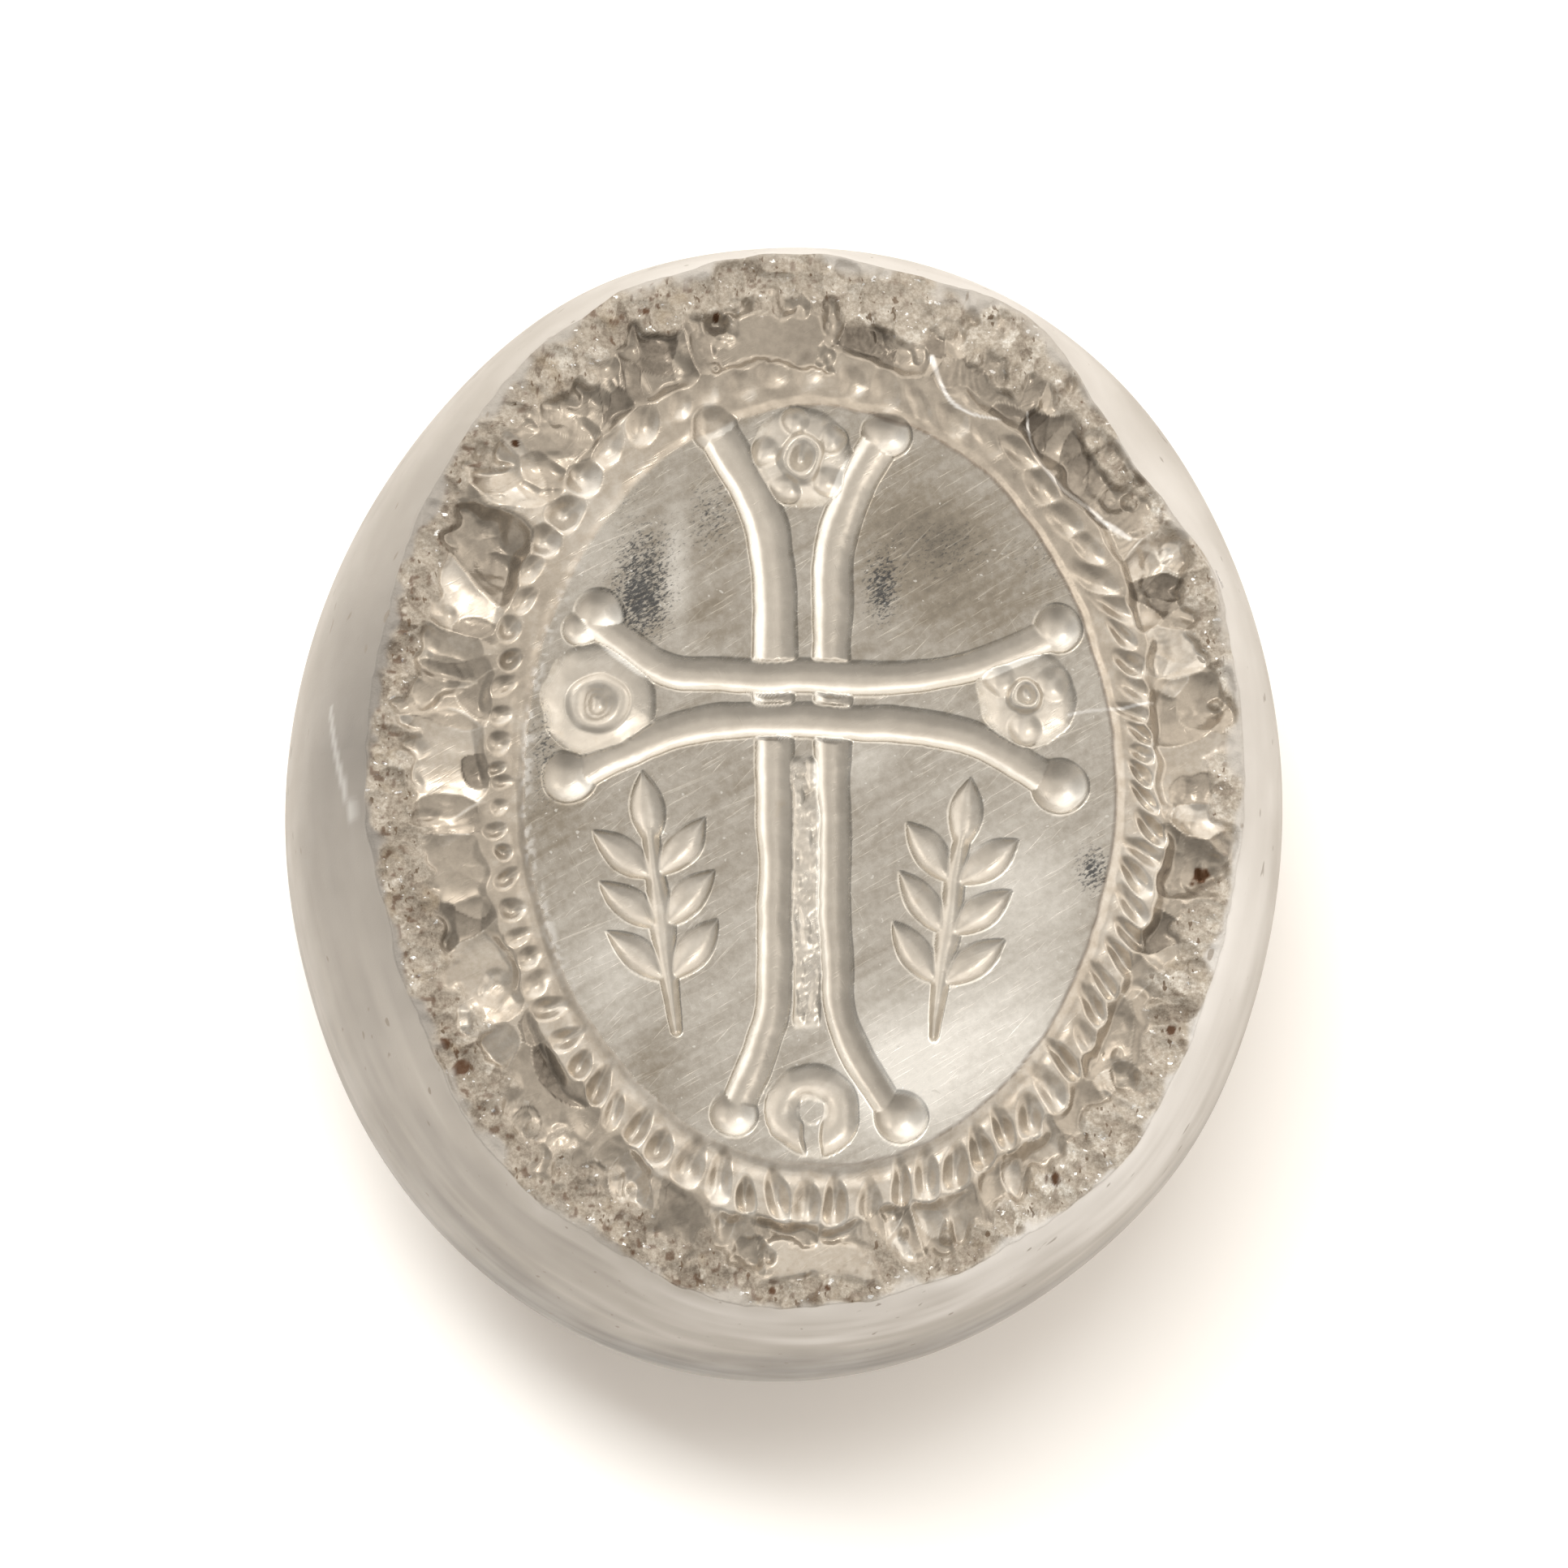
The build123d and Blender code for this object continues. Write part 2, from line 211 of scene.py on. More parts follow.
# Rosettes: x, y, reach, dish depth, boss radius, boss rise and eye depth,
# then the number of dimples, their circle, radius and depth
ROSETTES = [
    (-0.08, 5.70, 0.92, 0.17, 0.30, 0.10, 0.10, 5, 0.60, 0.34, 0.23),
    (-3.66, 1.30, 1.02, 0.22, 0.38, 0.10, 0.11, 0, 0.0, 0.0, 0.0),
    (3.88, 1.50, 0.92, 0.19, 0.22, 0.12, 0.05, 3, 0.50, 0.40, 0.25),
    (0.10, -5.90, 0.84, 0.17, 0.36, 0.03, 0.0, 0, 0.0, 0.0, 0.0),
]

# Leaf sprigs that fill the two lower quarters of the field, placed as in the CAD model
SPRIG_X = 2.5
SPRIG_Y = -2.75
SPRIG_LEAN = math.radians(7.5)
SPRIG_LENGTH = 3.6
STEM_HALF_WIDTH = 0.24
STEM_DEPTH = 0.15
LEAF_LENGTH = 1.40
LEAF_HALF_WIDTH = 0.31
LEAF_DEPTH = 0.17
LEAF_ANGLE = math.radians(46)
LEAF_FEET = (-0.9, 0.0, 0.9)
TIP_LEAF_FOOT = 1.44


def groove_depth(x, y, points, depth, seed, lean=0.0):
    """Depth of a round groove, deeper on one side by the lean, and the place across it from -1 to 1."""
    d, half, side, run = route_distance(x, y, points)
    wobble = 1 + 0.07 * noise(run, side * 3.0, 0.9, seed) + 0.035 * noise(run, side * 7.0, 0.3, seed + 3)
    t = d / (half * wobble)
    shape = np.clip(1 - t**2.1, 0, None) * (1 + lean * side * np.minimum(t, 1))
    ripple = 1 + 0.05 * noise(run, d * side, 0.6, seed + 5)
    return depth * shape * ripple, side * np.minimum(t, 1)


def pit_depth(x, y, cx, cy, radius, depth):
    """Depth of a round drilled pit."""
    r = np.hypot(x - cx, y - cy) / radius
    return depth * np.clip(1 - r**2.2, 0, None)


def leaf_depth(x, y, cx, cy, angle, half_length, half_width, depth):
    """Depth of a leaf-shaped cut, pointed at both ends."""
    c, s = math.cos(angle), math.sin(angle)
    p = ((x - cx) * c + (y - cy) * s) / half_length
    q = (-(x - cx) * s + (y - cy) * c) / half_width
    room = np.clip(1 - p * p, 0, None)
    t = np.abs(q) / np.maximum(room, 1e-6)
    return depth * np.sqrt(room) * np.clip(1 - t**2, 0, None)


def notch_depth(x, y, cx, cy, angle, half_length, half_width, depth):
    """Depth of a worn border notch with soft edges, wider and deeper at its far end."""
    c, s = math.cos(angle), math.sin(angle)
    p = ((x - cx) * c + (y - cy) * s) / half_length
    q = (-(x - cx) * s + (y - cy) * c) / half_width * (1.2 - 0.35 * p)
    return depth * np.clip(1 - p * p - q * q, 0, None) ** 2 * (1 + 0.4 * p)


def rosette_depth(x, y, cx, cy, reach, dish, boss, rise, eye, dimples, circle, dimple, drill):
    """Depth of a dished disc with dimples round a boss, or without an eye of an open ring round a boss."""
    dx, dy = x - cx, y - cy
    r = np.hypot(dx, dy)
    if eye:
        depth = dish * np.clip(1 - (r / reach) ** 2.6, 0, None)
    else:
        stem = smoothstep(0.20, 0.12, np.abs(dx)) * smoothstep(0.0, -0.1, dy)
        depth = dish * np.clip(1 - ((r / reach - 0.62) / 0.38) ** 2, 0, None) * (1 - 0.8 * stem)
    for k in range(dimples):
        a = 0.5 + 2 * math.pi * k / dimples
        dimple_x, dimple_y = cx + circle * math.cos(a), cy + circle * math.sin(a)
        depth = join(depth, pit_depth(x, y, dimple_x, dimple_y, dimple, drill))
    if eye:
        ring = np.clip(1 - ((r - boss) / (0.45 * boss)) ** 2, 0, None)
        return depth - rise * ring + eye * np.clip(1 - (r / (0.5 * boss)) ** 2, 0, None)
    flat = np.maximum(np.maximum(np.abs(dx), np.abs(dy)), (np.abs(dx) + np.abs(dy)) * 0.76) / boss
    return depth + rise * smoothstep(0.75, 0.55, flat)


def sprig_cuts(x, y):
    """Stem, paired leaves and tip leaf of each sprig."""
    cut = np.zeros_like(x)
    for side in (-1, 1):
        lean = math.pi / 2 - side * SPRIG_LEAN
        rise_x, rise_y = math.cos(lean), math.sin(lean)
        stem = []
        for way, width in ((-0.5, 0.10), (0.0, STEM_HALF_WIDTH), (0.5, 0.14)):
            reach = way * SPRIG_LENGTH
            stem.append((side * SPRIG_X + reach * rise_x, SPRIG_Y + reach * rise_y, width))
        cut = join(cut, groove_depth(x, y, stem, STEM_DEPTH, 90 + side)[0])
        leaves = [(TIP_LEAF_FOOT, lean)]
        for foot in LEAF_FEET:
            leaves += [(foot, lean - LEAF_ANGLE), (foot, lean + LEAF_ANGLE)]
        for foot, heading in leaves:
            leaf_x = side * SPRIG_X + foot * rise_x + LEAF_LENGTH / 2 * math.cos(heading)
            leaf_y = SPRIG_Y + foot * rise_y + LEAF_LENGTH / 2 * math.sin(heading)
            leaf = leaf_depth(x, y, leaf_x, leaf_y, heading, LEAF_LENGTH / 2, LEAF_HALF_WIDTH, LEAF_DEPTH)
            cut = join(cut, leaf)
    return cut


def lit_side(x, y, cx, cy, radius):
    """Painted light across a pit: from 1 on the lit wall, at its lower right, to -1 on the shaded wall
    across from it.
    """
    return np.clip(((x - cx) - (y - cy)) / radius, -1, 1)


def engraved_cuts(x, y):
    """Depth of the cross, its tips and rosettes and the sprigs, and how far the walls of each groove and pit
    are lit, as painted light and shade.
    """
    cut = np.zeros_like(x)
    painted_light = np.zeros_like(x)
    for k, points in enumerate(CROSS_GROOVES):
        depth, across = groove_depth(x, y, rounded(points), GROOVE_DEPTHS[k], 40 + 11 * k, GROOVE_LEAN)
        # The beams were cut last and run through the uprights.
        over = smoothstep(0.0, 0.04, depth)
        # Painted light on each groove's left or lower wall and painted shade across from it, shifted for
        # each groove by GROOVE_TONES and on the uprights lighter towards the top.
        lit = 1.2 * smoothstep(-0.28, -0.62, across) - 0.15 * across + GROOVE_TONES[k]
        if k < 2:
            lit = lit + UPRIGHT_FADE * y
        painted_light = painted_light * (1 - over) + lit * over
        cut = cut * (1 - over) + depth * over
    for tip in TIPS:
        depth = pit_depth(x, y, *tip)
        painted_light = np.where(depth > cut, lit_side(x, y, *tip[:3]), painted_light)
        cut = join(cut, depth)
    wx, wy = x + 0.05 * noise(x, y, 0.35, 77), y + 0.05 * noise(x, y, 0.35, 78)
    for rosette in ROSETTES:
        depth = rosette_depth(wx, wy, *rosette)
        inside = np.hypot(x - rosette[0], y - rosette[1]) < rosette[2]
        cut = np.where(inside & (depth > cut - 0.05), np.maximum(depth, 0.0), cut)
    cut = join(cut, sprig_cuts(x, y))
    # Rough unpolished strip between the two uprights
    strip = smoothstep(0.26, 0.20, np.abs(x)) * smoothstep(-4.5, -4.2, y) * smoothstep(0.4, 0.2, y)
    rough = 0.07 + 0.035 * noise(x, y / 3, 0.12, 24) + 0.015 * noise(x, y, 0.06, 25)
    cut = np.maximum(cut, strip * rough)
    tooling = 0.003 * noise(x, y, 0.20, 75) + 0.0015 * noise(x, y, 0.07, 76)
    return cut + tooling * smoothstep(0.02, 0.06, cut), painted_light


def oval_offset(x, y, centre, reach):
    """Distance outside an oval, negative inside it."""
    u, v = (x - centre[0]) / reach[0], (y - centre[1]) / reach[1]
    rho = np.hypot(u, v) + 1e-9
    slope = np.hypot(u / reach[0], v / reach[1]) / rho
    return (rho - 1) / slope


# Large scars seen in the photograph: x, y, reach, depth, lean to the right, lean upwards, lightness, ripple
# The lightness is partly painted light: near 1 it is a painted glint on that facet.
SEEN_SCARS = [
    (-6.43, 0.00, 1.10, 0.20, -0.06, 0.10, 0.90, 0), (-6.10, 1.15, 0.80, 0.17, -0.10, 0.05, 0.66, 0),
    (-5.70, 3.00, 0.75, 0.22, -0.16, 0.20, 0.95, 0), (-6.20, 2.05, 0.50, 0.22, -0.20, 0.20, 0.80, 0),
    (-5.95, 4.05, 0.70, 0.18, 0.10, 0.10, 0.62, 0), (-5.50, -3.75, 1.00, 0.22, -0.08, 0.12, 0.86, 0),
    (-6.35, -2.00, 0.80, 0.18, -0.10, 0.10, 0.76, 0), (-4.60, -5.90, 0.90, 0.17, 0.05, 0.05, 0.60, 0),
    (-4.35, 6.10, 1.05, 0.24, 0.05, -0.05, 0.56, 0), (-3.30, 7.10, 0.70, 0.18, -0.10, 0.10, 0.60, 0),
    (-4.90, 5.20, 0.60, 0.22, -0.20, 0.22, 0.85, 0), (3.20, 7.20, 1.05, 0.20, 0.10, -0.05, 0.56, 1),
    (3.25, 8.15, 0.70, 0.28, -0.22, 0.26, 0.95, 0), (4.75, 6.05, 0.95, 0.22, 0.14, -0.10, 0.42, 0),
    (5.35, 5.00, 0.90, 0.20, 0.12, 0.06, 0.50, 1), (6.75, 3.75, 0.80, 0.30, -0.24, 0.22, 0.98, 0),
    (6.95, 3.00, 0.60, 0.24, 0.10, 0.05, 0.60, 0), (6.40, 2.05, 0.45, 0.22, 0.15, -0.20, 0.10, 0),
    (6.80, 0.35, 1.10, 0.20, -0.06, 0.06, 0.82, 0), (7.15, -0.65, 0.40, 0.20, -0.20, 0.25, 0.98, 0),
    (6.20, -2.20, 0.70, 0.18, 0.00, 0.05, 0.60, 0), (5.90, -4.20, 0.85, 0.20, 0.10, -0.05, 0.42, 0),
    (4.90, -5.60, 0.75, 0.20, 0.10, -0.10, 0.42, 0), (1.10, 7.90, 0.60, 0.20, 0.15, -0.15, 0.30, 1),
]


def make_scars(count, reach, depth, lean, inner, outer):
    """Random flake scars over the band between two ovals, as columns like those of SEEN_SCARS."""
    turn, f = rng.uniform(0, 2 * math.pi, count), rng.uniform(inner, outer, count)
    return np.stack([
        FIELD_CENTRE[0] * (1 - f) + (FIELD_REACH[0] + 2.35 * f) * np.cos(turn),
        FIELD_CENTRE[1] * (1 - f) + (FIELD_REACH[1] + 2.55 * f) * np.sin(turn),
        reach * rng.uniform(0.6, 1.4, count),
        depth * rng.uniform(0.4, 1.3, count),
        rng.normal(0, lean, count),
        rng.normal(0, lean, count),
        np.clip(rng.normal(0.55, 0.17, count), 0.15, 1.0),
        (rng.uniform(size=count) < 0.2).astype(float),
    ], 1)


LARGE_SCARS = np.concatenate([np.array(SEEN_SCARS, float), make_scars(110, 0.52, 0.17, 0.26, 0.36, 1.0)])
SMALL_SCARS = make_scars(600, 0.26, 0.06, 0.24, 0.32, 1.05)
GRIT_SCARS = make_scars(2400, 0.15, 0.035, 0.20, 0.62, 1.12)
SCAR_STRETCH = 1.25


def scar_relief(x, y, scars, warp):
    """Depth, lightness and nearness to a ridge of shell-shaped scars that cut into one another."""
    wx = x + warp * noise(x, y, 0.7, 26) + 0.25 * warp * noise(x, y, 0.2, 27)
    wy = y + warp * noise(x, y, 0.7, 28) + 0.25 * warp * noise(x, y, 0.2, 29)
    deepest = np.full(x.shape, -9.0)
    second = np.full(x.shape, -9.0)
    owner = np.zeros(x.shape, int)
    for k, (cx, cy, reach, depth, lean_x, lean_y, _, ripple) in enumerate(scars):
        near = np.flatnonzero((np.abs(wx - cx) < 2.8 * reach) & (np.abs(wy - cy) < 2.8 * reach))
        dx, dy = wx[near] - cx, wy[near] - cy
        away = math.hypot(cx, cy)
        inward = (dx * cx + dy * cy) / away / SCAR_STRETCH
        across = (dx * cy - dy * cx) / away * SCAR_STRETCH
        r = np.hypot(inward, across)
        curve = 0.45 * (r / reach) ** 2 + 0.12 * (r / reach) ** 4
        shell = depth + lean_x * dx + lean_y * dy - depth * curve
        shell = shell + ripple * 0.003 * np.sin(r * 2 * math.pi / (0.10 + 0.05 * r))
        second[near] = np.maximum(second[near], np.minimum(deepest[near], shell))
        owner[near] = np.where(shell > deepest[near], k, owner[near])
        deepest[near] = np.maximum(deepest[near], shell)
    ridge = smoothstep(0.010, 0.0, deepest - second)
    return np.clip(deepest, 0.0, None), scars[owner, 6], ridge


# Border round the oval: turn, then heading, half length, half width, depth and spacing of its notches there,
# their distance from the field and lightness
NOTCH_STYLES = np.array([
    (-180, -170, 0.22, 0.18, 0.10, 0.43, 0.42, 0.48),
    (-150, -140, 0.34, 0.25, 0.14, 0.52, 0.52, 0.51),
    (-120, -112, 0.48, 0.28, 0.19, 0.56, 0.64, 0.59),
    (-90, -90, 0.58, 0.29, 0.20, 0.54, 0.68, 0.62),
    (-45, -64, 0.56, 0.28, 0.21, 0.54, 0.66, 0.58),
    (-8, -40, 0.52, 0.25, 0.21, 0.50, 0.60, 0.62),
    (8, -40, 0.42, 0.19, 0.17, 0.36, 0.54, 0.60),
    (20, -38, 0.52, 0.27, 0.18, 0.56, 0.58, 0.50),
    (45, -40, 0.62, 0.34, 0.15, 0.66, 0.62, 0.42),
    (80, -80, 0.46, 0.32, 0.07, 0.64, 0.60, 0.40),
    (105, -95, 0.42, 0.32, 0.06, 0.66, 0.66, 0.43),
    (135, -135, 0.48, 0.42, 0.22, 0.70, 0.84, 0.58),
    (165, -160, 0.29, 0.25, 0.13, 0.50, 0.54, 0.49),
    (180, -170, 0.22, 0.18, 0.10, 0.43, 0.42, 0.48),
])
STYLE_TURNS = NOTCH_STYLES[:, 0]


def border_notches():
    """Leaf cuts walked round the oval, each like the style at its turn."""
    notches = []
    turn = -math.pi
    while turn < math.pi:
        style = [float(np.interp(math.degrees(turn), STYLE_TURNS, NOTCH_STYLES[:, k])) for k in range(1, 7)]
        heading, half_length, half_width, depth, spacing, offset = style
        rx, ry = FIELD_REACH[0] + offset, FIELD_REACH[1] + offset
        shift = rng.uniform(-0.10, 0.10)
        notches.append((
            FIELD_CENTRE[0] + (rx + shift) * math.cos(turn),
            FIELD_CENTRE[1] + (ry + shift) * math.sin(turn),
            math.radians(heading + rng.uniform(-16, 16)),
            half_length * rng.uniform(0.80, 1.25),
            half_width * rng.uniform(0.80, 1.25),
            depth * rng.uniform(0.60, 1.25),
        ))
        speed = math.hypot(rx * math.sin(turn), ry * math.cos(turn))
        turn += spacing * rng.uniform(0.88, 1.12) / speed
    return notches


NOTCHES = border_notches()

# Flat clear windows over the ends of the bore: x and y, half width and height, depth, slope, lightness
WINDOWS = [
    (-0.58, 7.80, 0.83, 0.47, 0.20, -0.10, 0.36),
    (0.30, -8.50, 0.85, 0.32, 0.22, 0.08, 0.58),
]

# Painted bright and dim reflections on the polished face: x, y, half width, half height, strength
PAINTED_REFLECTIONS = [
    (2.66, 3.82, 1.80, 1.60, -0.16), (2.20, 4.26, 0.90, 0.60, -0.10), (-4.50, -0.83, 0.60, 0.90, -0.12),
    (-2.63, -5.04, 0.50, 1.00, -0.12), (-1.63, 2.80, 0.80, 0.50, -0.10), (1.52, -5.40, 0.80, 0.90, 0.42),
    (3.66, -1.85, 1.10, 1.10, 0.24), (2.66, -5.04, 1.70, 1.10, 0.32), (-2.28, 3.68, 0.22, 1.20, 0.25),
    (-3.90, 4.30, 0.80, 1.00, 0.16), (-3.35, -3.60, 0.70, 1.20, 0.16), (0.95, 0.33, 0.50, 0.40, 0.15),
    (3.60, -4.20, 1.20, 1.00, 0.16),
]

# Painted dark reflections in the polish, as patches: x, y, half width, half height, strength
SHADES = [
    (-2.90, 3.10, 0.55, 0.75, 0.95), (-1.63, 4.65, 0.50, 0.75, 0.48), (1.33, 3.36, 0.30, 0.62, 0.82),
    (5.04, -1.56, 0.30, 0.45, 0.80), (2.40, 4.10, 1.10, 0.70, 0.36), (-2.80, 4.10, 0.60, 0.60, 0.42),
    (-4.60, 0.30, 0.30, 1.10, 0.50), (-3.30, 5.10, 0.45, 0.35, 0.38), (4.30, 3.90, 0.60, 0.50, 0.30),
]

# Brown specks caught in the crushed edge: x, y, radius
SPECKS = [
    (6.99, -1.56, 0.17), (-6.03, -5.19, 0.16), (6.46, -4.32, 0.08), (4.38, -7.00, 0.12),
    (-0.56, -9.05, 0.07), (-6.30, -4.75, 0.10), (-2.80, 8.30, 0.06), (-5.10, 5.90, 0.06),
    (0.40, -9.00, 0.06), (-1.55, 8.25, 0.08),
]

# Painted glints as bright lines, along a hairline crack and along curved ridges left by the larger chips: x,
# y, half width along each
BRIGHT_LINES = [
    [(4.66, 1.19, 0.03), (5.40, 1.33, 0.03), (6.12, 1.46, 0.02)],
    [(3.91, 6.58, 0.02), (3.95, 6.15, 0.03), (4.12, 5.64, 0.04), (4.45, 5.28, 0.04), (4.81, 5.03, 0.05),
     (5.24, 4.77, 0.03)],
    [(5.14, 4.76, 0.03), (5.45, 4.60, 0.07), (5.74, 4.40, 0.04)],
    [(2.23, 7.53, 0.05), (2.38, 7.17, 0.04), (2.55, 6.73, 0.03), (3.02, 6.48, 0.02), (3.45, 6.44, 0.02)],
]


def blobs(x, y, places):
    """Sum of soft oval patches."""
    total = np.zeros_like(x)
    for px, py, half_x, half_y, strength in places:
        total = total + strength * np.exp(-(((x - px) / half_x) ** 2 + ((y - py) / half_y) ** 2))
    return total


def crystal_tone(x, y):
    """Lightness of the polished face from 0 to 1, streaked along the polishing, with painted reflection:
    lighter towards the lower right and in bright and dim patches.
    """
    along, across = x * 0.85 + y * 0.52, -x * 0.52 + y * 0.85
    streak = 0.6 * noise(along / 9, across, 0.10, 81) + 0.4 * noise(along / 5, across, 0.24, 82)
    tone = 0.53 - 0.035 * y / 6 + 0.04 * x / 5 + 0.07 * layered(x, y, 1.7, 83) + blobs(x, y, PAINTED_REFLECTIONS)
    return np.clip(tone + 0.085 * streak, 0, 1)


def border_relief(x, y, outside, turn):
    """Depth of the channel round the field and of the notched border, and the painted light and shade on the
    notches' walls.
    """
    middle = CHANNEL_WIDTH / 2
    wall = smoothstep(0.0, middle, outside)
    channel = CHANNEL_DEPTH * wall * (1 - 0.55 * smoothstep(middle, CHANNEL_WIDTH, outside))
    margin = CHANNEL_DEPTH * 0.45 * wall
    # The channel runs out at the upper left.
    kept = 1 - 0.7 * hump(turn, 138, 38)
    border = kept * np.maximum(channel, margin) + 0.010 * noise(x, y, 0.22, 79) * wall
    cuts = np.zeros_like(x)
    painted_light = np.zeros_like(x)
    for cx, cy, angle, half_length, half_width, depth in NOTCHES:
        near = np.flatnonzero((np.abs(x - cx) < 0.8) & (np.abs(y - cy) < 0.8))
        cut = notch_depth(x[near], y[near], cx, cy, angle, half_length, half_width, depth)
        # Painted light on each notch's wall at its lower right and painted shade across from it.
        painted_light[near] = np.where(cut > cuts[near], lit_side(x[near], y[near], cx, cy, half_length), painted_light[near])
        cuts[near] = join(cuts[near], cut, 0.05)
    return border + cuts, painted_light * smoothstep(0.0, 0.03, cuts)


def left_side(turn):
    """From 0 on the right of the face to 1 on its left."""
    return smoothstep(0.25, -0.35, np.cos(np.radians(turn)))


def chipped_edge(x, y, rim, turn, outside):
    """Depth, lightness, chip mask and grit mask of the flaked band and of the crushed rim beyond it."""
    upward = np.sin(np.radians(turn))
    left, lowest = left_side(turn), smoothstep(-0.80, -0.97, upward)
    chip_start = np.interp(turn, STYLE_TURNS, NOTCH_STYLES[:, 6]) + CHIP_GAP
    ragged = 0.26 * layered(x, y, 1.3, 21) + 0.10 * noise(x, y, 0.35, 23)
    chip = smoothstep(-0.14, 0.16, outside + ragged - chip_start)
    large, large_tone, large_ridge = scar_relief(x, y, LARGE_SCARS, 0.08)
    small, small_tone, small_ridge = scar_relief(x, y, SMALL_SCARS, 0.04)
    shattered = 0.5 * hump(turn, 126, 20)
    crushed = smoothstep(-0.05, 0.40, layered(x, y, 0.9, 36) + 2.2 * (rim - 0.86) + shattered)
    scars = large * (1 - shattered) + (0.15 + 0.70 * crushed) * small
    # Ridges between the scars get a painted glint where this is above zero and painted shade where it is
    # below.
    ridge_light_and_shade = 0.42 * noise(x, y, 0.6, 43) + 0.05
    shadier = 0.15 * smoothstep(70, 25, np.abs(turn - 82))
    lighter = 0.05 * hump(turn, 137, 22) + 0.04 * lowest
    flakes = 0.10 - 0.06 * smoothstep(-0.95, -0.5, upward) - 0.05 * left - shadier + lighter
    flakes = flakes + 0.62 * large_tone + 0.45 * (0.2 + 0.8 * crushed) * (small_tone - 0.55)
    flakes = flakes + 0.06 * layered(x, y, 0.4, 46) + ridge_light_and_shade * (large_ridge + 0.5 * small_ridge * crushed)

    bare = CRUSH_BARE * smoothstep(45, 20, np.abs(turn - 20))
    crush_edge = CRUSH_START + bare + 0.075 * layered(x, y, 1.2, 31) + 0.035 * noise(x, y, 0.25, 32)
    grit = smoothstep(crush_edge, crush_edge + 0.04, rim)
    outer = np.flatnonzero(rim > 0.7)
    facets, facet_tone = np.zeros_like(x), np.full_like(x, 0.5)
    facets[outer], facet_tone[outer], _ = scar_relief(x[outer], y[outer], GRIT_SCARS, 0.03)
    lumps = 0.06 * layered(x, y, 0.5, 35) + 0.025 * noise(x, y, 0.17, 33)
    slope = RIM_DROP * smoothstep(0.74, 1.0, rim)
    edge = chip * (scars * (1 - 0.75 * grit) + slope * 0.6) + grit * (lumps + facets + 0.03)
    sandy = 0.48 - 0.10 * left - 0.08 * lowest + 0.7 * (facet_tone - 0.55) + 0.10 * layered(x, y, 0.8, 44)
    flakes = flakes * (1 - grit) + sandy * grit
    for wx, wy, half_x, half_y, drop, tilt, light in WINDOWS:
        ruffle = 0.40 * layered(x, y, 0.5, 37) + 0.10 * noise(x, y, 0.12, 30)
        reach = np.maximum(np.abs(x - wx) / half_x, np.abs(y - wy) / half_y)
        inside = smoothstep(1.25, 0.75, reach + ruffle)
        edge = edge * (1 - inside) + (drop + tilt * (y - wy)) * inside
        grit = grit * (1 - inside)
        flakes = flakes * (1 - inside) + (light + 0.08 * layered(x, y, 0.8, 39)) * inside
    return edge, flakes, chip, grit


def stains(x, y, rim, turn, outside):
    """Strength of the specks, the rust along the rim and the dark line that ends the field on the right."""
    left = left_side(turn)
    stain = np.zeros_like(x)
    for sx, sy, radius in SPECKS:
        r = np.hypot(x - sx, y - sy) / radius + 0.5 * noise(x, y, 0.09, 38)
        stain = np.maximum(stain, smoothstep(1.1, 0.7, r))
    line = smoothstep(0.05, 0.012, np.abs(outside - 0.02))
    stain = np.maximum(stain, 0.42 * (1 - left) * line)
    rust = smoothstep(0.45, 0.65, noise(x, y, 0.10, 48)) * smoothstep(0.90, 0.95, rim)
    return np.maximum(stain, (0.25 + 0.45 * left) * rust)


def bright_marks(x, y, turn, outside):
    """Strength of the painted glints along the bright lines, and of the pale splinters of the frayed edge
    that ends the field on the far left.
    """
    splinters = smoothstep(-0.1, 0.5, noise(x, y, 0.07, 41) + 0.5 * noise(x, y, 0.2, 42))
    frayed = smoothstep(0.16, 0.02, np.abs(outside)) * splinters
    bright = 0.45 * smoothstep(-0.75, -0.95, np.cos(np.radians(turn))) * frayed
    hx, hy = hand(x, y)
    for route in BRIGHT_LINES:
        away, half, _, _ = route_distance(hx, hy, rounded(route))
        strength = 0.55 + 0.35 * noise(x, y, 0.3, 50)
        bright = np.maximum(bright, smoothstep(1.4, 0.5, away / half) * strength)
    return bright


